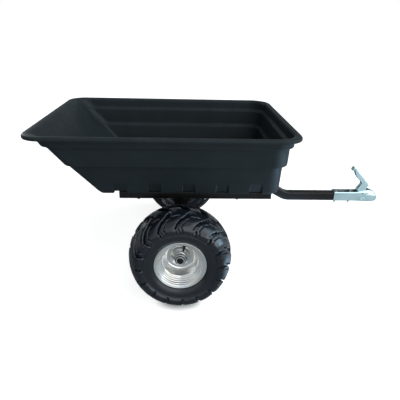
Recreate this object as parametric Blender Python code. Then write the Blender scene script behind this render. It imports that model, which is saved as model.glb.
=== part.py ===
"""All-terrain vehicle trailer: a moulded tipping tub on a welded frame, two lugged tyres, a ball coupler."""

import math

import bmesh
import bpy
from mathutils import Vector

# Driving dimensions, in metres. X runs forward from the axle, Y to the left, Z up from the ground.
TYRE_RADIUS = 0.2285
TYRE_LUGS = 16
TRACK = 0.950
AXLE_BEAM = 0.040
AXLE_RADIUS = 0.0125
HUB_HALF_LENGTH = 0.052

TUB_REAR = -0.660
TUB_FRONT = 0.520
TUB_HALF_WIDTH = 0.460
TUB_FLOOR = 0.475
TUB_TOP = 0.755
TUB_WALL = 0.004

CHANNEL_FIRST = -0.270
CHANNEL_PITCH = 0.152
CHANNEL_COUNT = 5
CHANNEL_WIDTH = 0.056
CHANNEL_HEIGHT = 0.012
CHANNEL_RUN_OUT = 0.345
CHANNEL_LEAN = 0.58

RAIL = 0.035
RAIL_WALL = 0.0025
RAIL_Y = 0.316
RAIL_REAR = -0.280
RAIL_FRONT = 0.418
CROSSMEMBERS = {"rear": -0.2615, "pivot": -0.120, "middle": 0.150, "front": 0.4003}

DRAWBAR = 0.045
DRAWBAR_WALL = 0.003
DRAWBAR_BEND = 0.100
DRAWBAR_BREAK_X = 0.405
DRAWBAR_SLOPE = math.radians(30)
DRAWBAR_LOW_Z = 0.3227
DRAWBAR_END = 0.950

PIVOT_X = -0.120
PIVOT_EYE = 0.0145
PIVOT_BOLT = 0.006
PLATE = 0.005

COUPLER_REAR = 0.8386
COUPLER_TIP = 1.085
COUPLER_BOLTS = {"rear": 0.853, "front": 0.932}
BALL_CENTRE = (1.045, 0.0, 0.3125)
BALL_SOCKET = 0.0256
LEVER_PIVOT = (1.000, 0.0, 0.345)
JAW_PIVOT = (0.990, 0.0, 0.309)
LATCH_PIVOT = (0.452, 0.0, 0.398)
LATCH_OPEN = math.radians(24)

GAP = 0.0003
SIDES = {"left": 1, "right": -1}

RAIL_TOP = TUB_FLOOR - GAP
RAIL_BOTTOM = RAIL_TOP - RAIL
SPINE_Z = RAIL_BOTTOM - GAP - DRAWBAR / 2
PIVOT_Z = RAIL_BOTTOM - GAP - 0.015
BEAM_TOP = TYRE_RADIUS + AXLE_BEAM / 2
WHOLE_CENTRE_X = (TUB_REAR + COUPLER_TIP) / 2


def material(name, colour, metallic, roughness):
    """A Principled material of one colour."""
    made = bpy.data.materials.new(name)
    made.use_nodes = True
    shader = made.node_tree.nodes["Principled BSDF"]
    shader.inputs["Base Color"].default_value = (*colour, 1)
    shader.inputs["Metallic"].default_value = metallic
    shader.inputs["Roughness"].default_value = roughness
    made.diffuse_color = (*colour, 1)
    return made


def empty(name, parent, location, turn=(0, 0, 0)):
    """A parent for pieces that move or turn together."""
    made = bpy.data.objects.new(name, None)
    bpy.context.scene.collection.objects.link(made)
    made.parent = parent
    made.location = location
    made.rotation_euler = turn
    return made


def piece(name, shape, finish, parent, location=(0, 0, 0), turn=(0, 0, 0), smooth_below=40):
    """An object from a bmesh, which it uses up. Edges flatter than smooth_below degrees shade smooth."""
    mesh = bpy.data.meshes.new(name)
    shape.to_mesh(mesh)
    shape.free()
    if finish:
        mesh.materials.append(finish)
    mesh.shade_smooth()
    mesh.set_sharp_from_angle(angle=math.radians(smooth_below))
    made = bpy.data.objects.new(name, mesh)
    bpy.context.scene.collection.objects.link(made)
    made.parent = parent
    made.location = location
    made.rotation_euler = turn
    return made


def cut(target, *cutters):
    """Takes each cutter out of the target with a live Boolean."""
    for cutter in cutters:
        step = target.modifiers.new(cutter.name, "BOOLEAN")
        step.operation = "DIFFERENCE"
        step.object = cutter
        cutter.hide_render = True
        cutter.display_type = "WIRE"


def skin(loops, ring=False):
    """A bmesh through loops of equally many points, capped at both ends or closed on itself as a ring."""
    shape = bmesh.new()
    rows = [[shape.verts.new(point) for point in loop] for loop in loops]
    pairs = list(zip(rows, rows[1:]))
    if ring:
        pairs.append((rows[-1], rows[0]))
    else:
        shape.faces.new(rows[0])
        shape.faces.new(rows[-1])
    for lower, upper in pairs:
        for i, corner in enumerate(lower):
            following = (i + 1) % len(lower)
            shape.faces.new((corner, lower[following], upper[following], upper[i]))
    bmesh.ops.recalc_face_normals(shape, faces=shape.faces)
    return shape


def circle(radius, height, sides):
    """Points round the Z axis."""
    turns = [math.tau * (i + 0.5) / sides for i in range(sides)]
    return [(radius * math.cos(turn), radius * math.sin(turn), height) for turn in turns]


def hexagon(across_flats, height):
    """Twelve points round a hexagon: its corners and the middles of its sides."""
    corner = across_flats / math.sqrt(3)
    points = []
    for i in range(12):
        reach = corner if i % 2 == 0 else across_flats / 2
        turn = math.tau * i / 12
        points.append((reach * math.cos(turn), reach * math.sin(turn), height))
    return points


def turned(profile, sides=16):
    """A solid round Z from (radius, height) points in order along it, with flat ends."""
    return skin([circle(radius, height, sides) for radius, height in profile])


def turned_ring(profile, sides=16):
    """A ring round Z from a closed section of (radius, height) points."""
    return skin([circle(radius, height, sides) for radius, height in profile], ring=True)


def plate(outline, thickness, middle=0.0):
    """A flat plate with an (x, z) outline, thick along Y and centred on middle."""
    faces = (middle - thickness / 2, middle + thickness / 2)
    return skin([[(x, y, z) for x, z in outline] for y in faces])


def box(low, high):
    """A block between two opposite corners."""
    (x0, y0, z0), (x1, y1, z1) = low, high
    return skin([[(x0, y0, z), (x1, y0, z), (x1, y1, z), (x0, y1, z)] for z in (z0, z1)])


def arc(centre, radius, start, end, steps):
    """Points on an arc from start to end, in degrees anticlockwise from the first axis."""
    turns = [math.radians(start + (end - start) * i / steps) for i in range(steps + 1)]
    return [(centre[0] + radius * math.cos(turn), centre[1] + radius * math.sin(turn)) for turn in turns]


def square_section(width, chamfer):
    """Eight points of a square with cut corners, as (across, up)."""
    half = width / 2
    inner = half - chamfer
    return [(half, -inner), (half, inner), (inner, half), (-inner, half),
            (-half, inner), (-half, -inner), (-inner, -half), (inner, -half)]


def square_tube(path, width, wall):
    """A hollow square tube along (x, z) points: its outer skin one way and its bore back again."""
    stations = [Vector((x, 0, z)) for x, z in path]
    frames = []
    for i, station in enumerate(stations):
        before = stations[max(i - 1, 0)]
        after = stations[min(i + 1, len(stations) - 1)]
        along = (after - before).normalized()
        frames.append((station, Vector((0, 1, 0)).cross(along) * -1))
    loops = []
    for section, order in ((square_section(width, 0.004), frames),
                           (square_section(width - 2 * wall, 0.0015), frames[::-1])):
        for station, up in order:
            loops.append([station + Vector((0, across, 0)) + up * rise for across, rise in section])
    return skin(loops, ring=True)


def plan_outline(rear, front, half, rear_radius, front_radius, height, steps=5):
    """A rounded rectangle seen from above, anticlockwise from its front left corner."""
    corners = ((front - front_radius, half - front_radius, front_radius, 0),
               (rear + rear_radius, half - rear_radius, rear_radius, 90),
               (rear + rear_radius, rear_radius - half, rear_radius, 180),
               (front - front_radius, front_radius - half, front_radius, 270))
    points = []
    for x, y, radius, start in corners:
        points += arc((x, y), radius, start, start + 90, steps)
    return [(x, y, height) for x, y in points]


def tub_outside():
    """The tub's outer form with the turned-down rim, its mouth still closed."""
    # Height, rear edge, then how far sides and front stand in from the rim, then the two corner radii.
    levels = (
        (TUB_FLOOR, -0.3467, 0.1120, 0.0810, 0.015, 0.060),
        (0.4795, -0.3600, 0.1035, 0.0745, 0.019, 0.063),
        (0.4885, -0.3705, 0.0985, 0.0695, 0.022, 0.066),
        (0.6035, -0.4766, 0.0730, 0.0665, 0.029, 0.078),
        (0.6155, -0.5000, 0.0560, 0.0495, 0.050, 0.084),
        (0.6920, -0.5620, 0.0480, 0.0465, 0.045, 0.088),
        (0.7035, -0.5875, 0.0300, 0.0297, 0.065, 0.096),
        (0.7440, -0.6165, 0.0265, 0.0285, 0.070, 0.098),
        (0.7455, -0.6540, 0.0060, 0.0060, 0.088, 0.100),
        (0.7375, -0.6550, 0.0050, 0.0050, 0.089, 0.101),
        (0.7375, -0.6590, 0.0010, 0.0010, 0.090, 0.102),
        (0.7445, TUB_REAR, 0.0000, 0.0000, 0.090, 0.102),
        (0.7510, -0.6580, 0.0020, 0.0020, 0.089, 0.101),
        (TUB_TOP, -0.6520, 0.0080, 0.0080, 0.086, 0.098),
    )
    return skin([
        plan_outline(rear, TUB_FRONT - front, TUB_HALF_WIDTH - side, rear_radius, front_radius, height)
        for height, rear, side, front, rear_radius, front_radius in levels
    ])


def tub_inside():
    """The room inside the tub: stepped sides and front, one smooth sloping panel at the rear."""
    levels = (
        (TUB_FLOOR + TUB_WALL, -0.3450, 0.1165, 0.0855, 0.014, 0.057),
        (0.4845, -0.3505, 0.1075, 0.0785, 0.017, 0.060),
        (0.4935, -0.3594, 0.1025, 0.0735, 0.020, 0.063),
        (0.6075, -0.4722, 0.0772, 0.0708, 0.025, 0.074),
        (0.6195, -0.4841, 0.0602, 0.0537, 0.046, 0.080),
        (0.6960, -0.5598, 0.0522, 0.0507, 0.041, 0.084),
        (0.7075, -0.5712, 0.0343, 0.0340, 0.060, 0.092),
        (0.7430, -0.6064, 0.0308, 0.0328, 0.064, 0.094),
        (0.7520, -0.6220, 0.0270, 0.0290, 0.070, 0.095),
        (TUB_TOP, -0.6360, 0.0210, 0.0230, 0.076, 0.096),
        (0.8000, -0.6360, 0.0210, 0.0230, 0.076, 0.096),
    )
    return skin([
        plan_outline(rear, TUB_FRONT - front, TUB_HALF_WIDTH - side, rear_radius, front_radius, height)
        for height, rear, side, front, rear_radius, front_radius in levels
    ])


def channel_cutter(middle, grow):
    """One stiffening channel across the underside, running out up both sides; grow makes its inner face."""
    roof = TUB_FLOOR + CHANNEL_HEIGHT + grow
    foot = CHANNEL_RUN_OUT - grow * 0.53
    reach = 0.600
    crest = roof + (reach - foot) / CHANNEL_LEAN
    below = 0.400
    outline = ((-reach, below), (reach, below), (reach, crest), (foot, roof), (-foot, roof), (-reach, crest))
    half = CHANNEL_WIDTH / 2 + grow
    return skin([[(middle + edge, y, z) for y, z in outline] for edge in (-half, half)])


def bolt_places():
    """Where the tub is bolted to its rails, on the lands between the channels."""
    lands = (0, 2, 3)
    first = CHANNEL_FIRST + CHANNEL_PITCH / 2
    return [(side, land, first + CHANNEL_PITCH * land) for side in SIDES for land in lands]


def build_tub(parent, finish):
    """The moulded shell: outside less inside, with channels pressed up into its floor."""
    tub = piece("tub", tub_outside(), finish, parent, smooth_below=50)
    room = piece("tub_room", tub_inside(), None, parent)
    for i in range(CHANNEL_COUNT):
        middle = CHANNEL_FIRST + CHANNEL_PITCH * i
        cut(room, piece(f"channel_roof_{i}", channel_cutter(middle, TUB_WALL), None, parent))
        cut(tub, piece(f"channel_{i}", channel_cutter(middle, 0), None, parent))
    cut(tub, room)
    for side, land, x in bolt_places():
        hole = turned([(0.0048, -0.08), (0.0048, 0.05)], 8)
        cut(tub, piece(f"floor_hole_{side}_{land}", hole, None, parent, (x, SIDES[side] * RAIL_Y, TUB_FLOOR)))
    return tub


def build_subframe(parent, finish):
    """Two rails and their crossmembers, bolted under the tub."""
    middle = (RAIL_TOP + RAIL_BOTTOM) / 2
    for side, sign in SIDES.items():
        shape = square_tube([(RAIL_REAR, middle), (RAIL_FRONT, middle)], RAIL, RAIL_WALL)
        rail = piece(f"{side}_rail", shape, finish, parent, (0, sign * RAIL_Y, 0))
        for place, land, x in bolt_places():
            if place == side:
                hole = turned([(0.0048, -0.06), (0.0048, 0.02)], 8)
                spot = (x, sign * RAIL_Y, RAIL_TOP)
                cut(rail, piece(f"rail_hole_{side}_{land}", hole, None, parent, spot))
    reach = RAIL_Y - RAIL / 2 - GAP
    for name, x in CROSSMEMBERS.items():
        shape = square_tube([(-reach, 0), (reach, 0)], RAIL, RAIL_WALL)
        piece(f"{name}_crossmember", shape, finish, parent, (x, 0, middle), (0, 0, math.pi / 2))


def build_tub_bolts(parent, finish):
    """Round-headed bolts through the tub floor and the rails, with a nut under each."""
    head = [(0.0045, 0.0046), (0.0088, 0.0024), (0.0100, 0), (0.004, 0)]
    shank_end = -(TUB_WALL + RAIL + 0.0090)
    for side, land, x in bolt_places():
        y = SIDES[side] * RAIL_Y
        shape = turned(head + [(0.004, shank_end)], 8)
        piece(f"tub_bolt_{side}_{land + 1}", shape, finish, parent, (x, y, TUB_FLOOR + TUB_WALL + GAP))
        piece(f"tub_nut_{side}_{land + 1}", nut(0.013, 0.0045, 0.0065), finish, parent,
              (x, y, RAIL_BOTTOM - GAP - 0.0065))


def nut(across_flats, bore, height):
    """A hexagon nut standing on Z = 0."""
    inside = bore / math.cos(math.pi / 6)
    loops = (hexagon(across_flats, 0), hexagon(across_flats, height),
             twelve_points(inside, height), twelve_points(inside, 0))
    return skin([loop[::2] for loop in loops], ring=True)


def twelve_points(radius, height):
    """A circle whose points line up with those of a hexagon loop."""
    turns = [math.tau * i / 12 for i in range(12)]
    return [(radius * math.cos(turn), radius * math.sin(turn), height) for turn in turns]


def hex_bolt(across_flats, head, radius, length):
    """A hexagon bolt whose head stands on Z = 0 and whose shank runs down."""
    return skin([hexagon(across_flats * 0.93, head), hexagon(across_flats, head * 0.8),
                 hexagon(across_flats, 0), twelve_points(radius, 0),
                 twelve_points(radius, -length + 0.001), twelve_points(radius * 0.85, -length)])


def drawbar_path():
    """The drawbar's centre line: level spine, sloping run, level tongue, with bent corners."""
    tangent = DRAWBAR_BEND * math.tan(DRAWBAR_SLOPE / 2)
    drop = SPINE_Z - DRAWBAR_LOW_Z
    second_x = DRAWBAR_BREAK_X + drop / math.tan(DRAWBAR_SLOPE)
    slope = math.degrees(DRAWBAR_SLOPE)
    first = arc((DRAWBAR_BREAK_X - tangent, SPINE_Z - DRAWBAR_BEND), DRAWBAR_BEND, 90, 90 - slope, 3)
    second = arc((second_x + tangent, DRAWBAR_LOW_Z + DRAWBAR_BEND), DRAWBAR_BEND, 270 - slope, 270, 3)
    return [(PIVOT_X + 0.022, SPINE_Z)] + first + second + [(DRAWBAR_END, DRAWBAR_LOW_Z)]


def build_drawbar(parent, finish):
    """The bent square tube that is the frame's spine, drilled for the coupler bolts and the latch bolt."""
    drawbar = piece("drawbar", square_tube(drawbar_path(), DRAWBAR, DRAWBAR_WALL), finish, parent)
    for name, x in COUPLER_BOLTS.items():
        hole = turned([(0.0058, -0.05), (0.0058, 0.05)], 8)
        cut(drawbar, piece(f"drawbar_hole_{name}", hole, None, parent, (x, 0, DRAWBAR_LOW_Z)))
    hole = turned([(0.0048, 0.01), (0.0048, 0.04)], 8)
    cut(drawbar, piece("drawbar_hole_latch", hole, None, parent, LATCH_PIVOT, (-math.pi / 2, 0, 0)))
    return drawbar


def side_plate_outline():
    """A plate that carries the tub's pivot eye, laps the spine and narrows down to the axle beam."""
    foot = 0.019
    shoulder = 0.092
    spine_under = SPINE_Z - DRAWBAR / 2 - 0.004
    top = SPINE_Z + DRAWBAR / 2 - 0.001
    eye = arc((PIVOT_X, PIVOT_Z), PIVOT_EYE, 90, 270, 8)
    return eye + [(-shoulder, spine_under), (-foot, BEAM_TOP + GAP), (foot, BEAM_TOP + GAP),
                  (shoulder, spine_under), (shoulder, top - 0.006), (shoulder - 0.006, top)]


def build_pedestal(parent, finish, bolt_finish):
    """Side plates and webs that stand the spine on the axle, and the bolt that the tub tips on."""
    middle = DRAWBAR / 2 + GAP + PLATE / 2
    for side, sign in SIDES.items():
        web = piece(f"{side}_axle_plate", plate(side_plate_outline(), PLATE), finish, parent,
                    (0, sign * middle, 0))
        hole = turned([(0.0064, -0.02), (0.0064, 0.02)], 12)
        spot = (PIVOT_X, sign * middle, PIVOT_Z)
        cut(web, piece(f"pivot_hole_{side}", hole, None, parent, spot, (math.pi / 2, 0, 0)))
    under = SPINE_Z - DRAWBAR / 2 - GAP
    for name, sign in (("front", 1), ("rear", -1)):
        outline = [(sign * 0.013, BEAM_TOP + GAP), (sign * 0.0175, BEAM_TOP + GAP),
                   (sign * 0.0850, under), (sign * 0.0805, under)]
        piece(f"{name}_axle_web", plate(outline, DRAWBAR - GAP), finish, parent)
    length = 2 * middle + PLATE + 0.014
    head_y = -(middle + PLATE / 2 + GAP)
    piece("pivot_bolt", hex_bolt(0.019, 0.0075, PIVOT_BOLT, length), bolt_finish, parent,
          (PIVOT_X, head_y, PIVOT_Z), (math.pi / 2, 0, 0))
    piece("pivot_nut", nut(0.019, 0.0064, 0.010), bolt_finish, parent,
          (PIVOT_X, -head_y + 0.010, PIVOT_Z), (math.pi / 2, 0, 0))


def build_axle(parent, finish, bright):
    """A square beam with a turned stub axle, thrust washer and retaining ring at each end."""
    beam_end = TRACK / 2 - 0.085
    shape = square_tube([(-beam_end, 0), (beam_end, 0)], AXLE_BEAM, 0.003)
    piece("axle_beam", shape, finish, parent, (0, 0, TYRE_RADIUS), (0, 0, math.pi / 2))
    hub = TRACK / 2 - HUB_HALF_LENGTH
    end = TRACK / 2 + HUB_HALF_LENGTH + 0.010
    bore = AXLE_BEAM / 2 - 0.0045
    stub = [(bore, beam_end - 0.060), (bore, beam_end + GAP), (0.0195, beam_end + GAP),
            (0.0195, beam_end + 0.006), (AXLE_RADIUS, beam_end + 0.006), (AXLE_RADIUS, end - 0.0085),
            (0.0112, end - 0.0085), (0.0112, end - 0.0055), (AXLE_RADIUS, end - 0.0055),
            (AXLE_RADIUS, end - 0.0015), (0.0110, end)]
    washer = [(0.0132, 0), (0.0185, 0), (0.0185, 0.003), (0.0132, 0.003)]
    for side, sign in SIDES.items():
        turn = (-sign * math.pi / 2, 0, 0)
        piece(f"{side}_stub_axle", turned(stub, 14), finish, parent, (0, 0, TYRE_RADIUS), turn)
        piece(f"{side}_thrust_washer", turned_ring(washer), bright, parent,
              (0, sign * (hub - 0.0065), TYRE_RADIUS), turn)
        piece(f"{side}_retaining_ring", retaining_ring(), finish, parent,
              (0, sign * (end - 0.0077), TYRE_RADIUS), turn)


def retaining_ring():
    """An open spring ring that sits in the axle's groove, with a gap at its foot."""
    outer = arc((0, 0), 0.0150, -65, 245, 12)
    inner = arc((0, 0), 0.0118, 245, -65, 12)
    return skin([[(x, y, z) for x, y in outer + inner] for z in (0, 0.0014)])


def tyre_rows():
    """Half of the tyre's section from the crown out: (base y, base r, lug y, lug r, sweep y) for each row."""
    tread = [(0.000, 0.2125, 0.000, 0.2125), (0.010, 0.2125, 0.012, TYRE_RADIUS),
             (0.048, 0.2080, 0.050, 0.2226), (0.084, 0.1962, 0.086, 0.2098),
             (0.104, 0.1835, 0.110, 0.1958), (0.1110, 0.1710, 0.1205, 0.1830)]
    wall = [(0.1125, 0.1580), (0.0990, 0.1185), (0.0895, 0.1155), (0.0895, 0.1026),
            (0.0750, 0.1026), (0.0800, 0.1860)]
    shoulder = tread[-1][0]
    return [(*row, row[2] if row[2] < 0.02 else row[0]) for row in tread] + [
        (y, r, y, r, shoulder) for y, r in wall]


def lug_sweep(y):
    """How far the lugs lean forward at a distance y from the crown, as a share of one lug's pitch."""
    reach = abs(y) / 0.12
    stagger = 0.25 * max(-1.0, min(1.0, y / 0.010))
    return stagger - 1.25 * reach ** 1.4


def tyre(side):
    """The tyre as a ring of rows: each lug is four columns, low, high, high, low, sheared row by row."""
    columns = ((0.00, False), (0.10, True), (0.58, True), (0.68, False))
    half = tyre_rows()
    rows = half + [(-base_y, base_r, -lug_y, lug_r, -lean_y)
                   for base_y, base_r, lug_y, lug_r, lean_y in half[:0:-1]]
    pitch = math.tau / TYRE_LUGS
    straight_down = math.pi - pitch * (columns[1][0] + lug_sweep(half[1][4]))
    loops = []
    for base_y, base_r, lug_y, lug_r, lean_y in rows:
        loop = []
        for lug in range(TYRE_LUGS):
            for share, raised in columns:
                y, radius = (lug_y, lug_r) if raised else (base_y, base_r)
                turn = straight_down + pitch * (lug + share + lug_sweep(lean_y))
                loop.append((radius * math.sin(turn), -side * radius * math.cos(turn), y))
        loops.append(loop)
    return skin(loops, ring=True)


def rim():
    """The pressed rim: two flanges, bead seats, a drop centre, and a dished disc welded to the hub tube."""
    tube = HUB_HALF_LENGTH
    section = [
        (0.1145, 0.0970), (0.1145, 0.0905), (0.1018, 0.0905), (0.1018, 0.0690), (0.0835, 0.0570),
        (0.0835, -0.0570), (0.1018, -0.0690), (0.1018, -0.0905), (0.1145, -0.0905), (0.1145, -0.0970),
        (0.1115, -0.0970), (0.0988, -0.0935), (0.0988, -0.0705), (0.0805, -0.0585), (0.0805, 0.0050),
        (0.0640, -0.0010), (0.0360, 0.0070), (0.0220, 0.0070), (0.0220, -tube), (0.0176, -tube),
        (0.0176, tube), (0.0220, tube), (0.0220, 0.0105), (0.0370, 0.0105), (0.0645, 0.0030),
        (0.0745, 0.0100), (0.0805, 0.0585), (0.0988, 0.0705), (0.0988, 0.0935), (0.1115, 0.0970),
    ]
    return turned_ring(section, 22)


def build_wheel(side, finishes, parent):
    """One wheel about its own axis, with Z pointing outwards: tyre, rim, two bearings and a valve."""
    sign = SIDES[side]
    piece(f"{side}_tyre", tyre(sign), finishes["tyre"], parent, smooth_below=35)
    piece(f"{side}_rim", rim(), finishes["rim"], parent)
    mouth = HUB_HALF_LENGTH + GAP
    bearing = [(0.0134, mouth - 0.012), (0.0170, mouth - 0.012), (0.0170, mouth), (0.0212, mouth),
               (0.0212, mouth + 0.0016), (0.0134, mouth + 0.0016)]
    piece(f"{side}_outer_bearing", turned_ring(bearing, 12), finishes["bearing"], parent)
    piece(f"{side}_inner_bearing", turned_ring(bearing, 12), finishes["bearing"], parent,
          turn=(math.pi, 0, 0))
    lean = math.radians(14)
    root = 0.0775
    stem = [(0.0085, 0), (0.0085, 0.003), (0.0055, 0.008), (0.0050, 0.021), (0.0038, 0.022), (0.0038, 0.029)]
    spot = (root * math.sin(lean), -sign * root * math.cos(lean), 0.0480)
    inward = Vector((-math.sin(lean), sign * math.cos(lean), 0.106))
    valve = piece(f"{side}_valve", turned(stem, 8), finishes["valve"], parent, spot)
    valve.rotation_euler = inward.to_track_quat("Z", "Y").to_euler()


def coupler_section(x, half, bottom, top, radius):
    """A section across the coupler: a rectangle with well rounded upper corners."""
    low = min(radius, 0.003)
    corners = ((half - low, bottom + low, low, 270, 1), (half - radius, top - radius, radius, 0, 3),
               (radius - half, top - radius, radius, 90, 3), (low - half, bottom + low, low, 180, 1))
    points = []
    for y, z, bend, start, steps in corners:
        points += arc((y, z), bend, start, start + 90, steps)
    return [(x, y, z) for y, z in points]


def build_coupler(parent, finish, bolt_finish):
    """The ball coupler's body with its bolts: a channel over the drawbar that swells into a socket."""
    sections = ((COUPLER_REAR, 0.0260, 0.3000, 0.3505, 0.005), (0.9600, 0.0260, 0.3000, 0.3505, 0.005),
                (0.9850, 0.0280, 0.2990, 0.3550, 0.008), (1.0100, 0.0312, 0.2985, 0.3605, 0.013),
                (1.0350, 0.0328, 0.2980, 0.3615, 0.019), (1.0550, 0.0312, 0.2985, 0.3560, 0.022),
                (1.0690, 0.0265, 0.3000, 0.3455, 0.020), (1.0775, 0.0195, 0.3020, 0.3310, 0.013),
                (1.0815, 0.0150, 0.3050, 0.3190, 0.006), (COUPLER_TIP, 0.0110, 0.3080, 0.3170, 0.004))
    body = piece("coupler_body", skin([coupler_section(*section) for section in sections]), finish, parent)
    bay = box((0.800, -DRAWBAR / 2 - 0.0004, 0.2), (0.954, DRAWBAR / 2 + 0.0004, 0.3456))
    lever_slot = box((0.9520, -0.0155, 0.2), (1.0180, 0.0155, 0.4))
    jaw_slot = box((1.0100, -0.0115, 0.2), (1.0330, 0.0115, 0.3285))
    window = box((0.8680, -0.0145, 0.33), (0.9170, 0.0145, 0.4))
    for name, shape in (("bay", bay), ("lever_slot", lever_slot), ("jaw_slot", jaw_slot), ("window", window)):
        cut(body, piece(f"coupler_{name}", shape, None, parent))
    dome = [(BALL_SOCKET * math.cos(turn), BALL_SOCKET * math.sin(turn))
            for turn in (math.radians(16 * i) for i in range(6))]
    socket = turned([(BALL_SOCKET, -0.1)] + dome, 20)
    cut(body, piece("ball_socket", socket, None, parent, BALL_CENTRE))
    for name, spot, radius in (("lever", LEVER_PIVOT, 0.0044), ("jaw", JAW_PIVOT, 0.0034)):
        hole = turned([(radius, -0.06), (radius, 0.06)], 10)
        cut(body, piece(f"{name}_pin_hole", hole, None, parent, spot, (math.pi / 2, 0, 0)))
    for name, x in COUPLER_BOLTS.items():
        hole = turned([(0.0058, -0.05), (0.0058, 0.05)], 8)
        cut(body, piece(f"coupler_hole_{name}", hole, None, parent, (x, 0, 0.35)))
        head_z = 0.3505 + GAP
        under = DRAWBAR_LOW_Z - DRAWBAR / 2 - GAP
        length = head_z - under + 0.0115
        piece(f"{name}_coupler_bolt", hex_bolt(0.016, 0.0065, 0.005, length), bolt_finish, parent,
              (x, 0, head_z))
        piece(f"{name}_coupler_nut", nut(0.016, 0.0054, 0.008), bolt_finish, parent,
              (x, 0, under - 0.008))
    for name, spot, radius, reach in (("lever", LEVER_PIVOT, 0.004, 0.0325),
                                      ("jaw", JAW_PIVOT, 0.003, 0.0308)):
        pin = [(radius * 1.6, reach - 0.0012), (radius * 1.6, reach + 0.0015), (radius * 1.1, reach + 0.0028)]
        profile = [(r, -z) for r, z in pin[::-1]] + [(radius, -reach), (radius, reach)] + pin
        piece(f"{name}_pin", turned(profile, 10), bolt_finish, parent, spot,
              (math.pi / 2, 0, 0))


def build_lever(parent, finish):
    """The coupler's locking lever, raised: a pressed channel bent at a knee, with a finger hook on top."""
    pivot = (LEVER_PIVOT[0], LEVER_PIVOT[2])
    hook = arc((0.9330, 0.4800), 0.0095, 60, 175, 4)
    knee = arc((1.0185, 0.3900), 0.0090, -20, 45, 3)
    hub = arc(pivot, 0.0120, 190, 340, 6) + [(1.0130, 0.3500), (1.0160, 0.3650)]
    outline = (knee + hook + [(0.9215, 0.4715), (0.9270, 0.4700), (0.9330, 0.4735), (0.9390, 0.4690),
                              (0.9460, 0.4470), (0.9600, 0.4270), (0.9760, 0.4120), (0.9870, 0.4010),
                              (0.9830, 0.3900), (0.9720, 0.3730), (0.9640, 0.3600)] + hub)
    local = [(x - pivot[0], z - pivot[1]) for x, z in outline]
    lever = piece("coupler_lever", plate(local, 0.028), finish, parent)
    hole = turned([(0.0044, -0.03), (0.0044, 0.03)], 12)
    cut(lever, piece("lever_bore", hole, None, parent, turn=(math.pi / 2, 0, 0)))
    hollow = [(0.9360, 0.4830), (1.0130, 0.3990), (1.0050, 0.3800), (0.9700, 0.3800), (0.9200, 0.4500)]
    shape = plate([(x - pivot[0], z - pivot[1]) for x, z in hollow], 0.021)
    cut(lever, piece("lever_hollow", shape, None, parent))


def build_jaw(parent, finish):
    """The locking jaw that the lever swings up under the ball, here open."""
    outline = arc((0, 0), 0.0062, 110, 290, 6) + [(0.0140, -0.0180), (0.0330, -0.0175), (0.0330, -0.0150),
                                                 (0.0275, -0.0080), (0.0255, 0.0010), (0.0150, 0.0060)]
    jaw = piece("locking_jaw", plate(outline, 0.021), finish, parent)
    hole = turned([(0.0034, -0.03), (0.0034, 0.03)], 12)
    cut(jaw, piece("jaw_bore", hole, None, parent, turn=(math.pi / 2, 0, 0)))


def build_pivot_bush(parent, finish):
    """The bush under the pivot crossmember that turns on the pivot bolt."""
    half = DRAWBAR / 2 - 0.0003
    section = [(0.0064, -half), (0.0150, -half), (0.0150, half), (0.0064, half)]
    piece("pivot_bush", turned_ring(section, 16), finish, parent, (PIVOT_X, 0, PIVOT_Z), (math.pi / 2, 0, 0))


def polar(degrees_back, radius):
    """A point about the latch's pivot, as (x, z), from an angle behind upright."""
    turn = math.radians(degrees_back)
    return (-radius * math.sin(turn), radius * math.cos(turn))


def build_striker(parent, finish):
    """The round staple on the front crossmember that the latch hooks over."""
    root_x = CROSSMEMBERS["front"] + RAIL / 2 + GAP
    bar_x = 0.441
    bar_z = 0.4545
    radius = 0.004
    low, high, bend = 0.010, 0.045, 0.007
    path = [(root_x, low)] + arc((bar_x - bend, low + bend), bend, -90, 0, 3)
    path += arc((bar_x - bend, high - bend), bend, 0, 90, 3) + [(root_x, high)]
    stations = [Vector((x, y, bar_z)) for x, y in path]
    loops = []
    for i, station in enumerate(stations):
        along = (stations[min(i + 1, len(stations) - 1)] - stations[max(i - 1, 0)]).normalized()
        if i in (0, len(stations) - 1):
            along = Vector((1 if i == 0 else -1, 0, 0))
        across = along.cross(Vector((0, 0, 1)))
        loops.append([station + across * x + Vector((0, 0, y)) for x, y, _ in circle(radius, 0, 8)])
    piece("latch_striker", skin(loops), finish, parent)


def build_latch(chassis, finish, bolt_finish):
    """The hook plate on the drawbar's left side, swung forward off its striker, and its shoulder bolt."""
    middle = DRAWBAR / 2 + 0.0010 + PLATE / 2
    spot = (LATCH_PIVOT[0], middle, LATCH_PIVOT[2])
    pivot = empty("latch_pivot", chassis, spot, (0, LATCH_OPEN, 0))
    hub = arc((0, 0), 0.0115, 180, 360, 6)
    outline = hub + [polar(-14, 0.030), polar(-16, 0.042), polar(-26, 0.054), polar(-38, 0.064),
                     polar(-33, 0.071), polar(-20, 0.0680), polar(-6, 0.0735), polar(8, 0.0735),
                     polar(22, 0.0705), polar(24, 0.0640), polar(15, 0.0638), polar(6, 0.0638),
                     polar(5, 0.0500), polar(8, 0.0300)]
    latch = piece("tub_latch", plate(outline, PLATE), finish, pivot)
    hole = turned([(0.0046, -0.02), (0.0046, 0.02)], 12)
    cut(latch, piece("latch_bore", hole, None, pivot, turn=(math.pi / 2, 0, 0)))
    face = DRAWBAR / 2 + 0.0010 + PLATE + 0.0010
    piece("latch_bolt", hex_bolt(0.013, 0.0055, 0.004, 0.020), bolt_finish, chassis,
          (LATCH_PIVOT[0], face, LATCH_PIVOT[2]), (-math.pi / 2, 0, 0))


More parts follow.
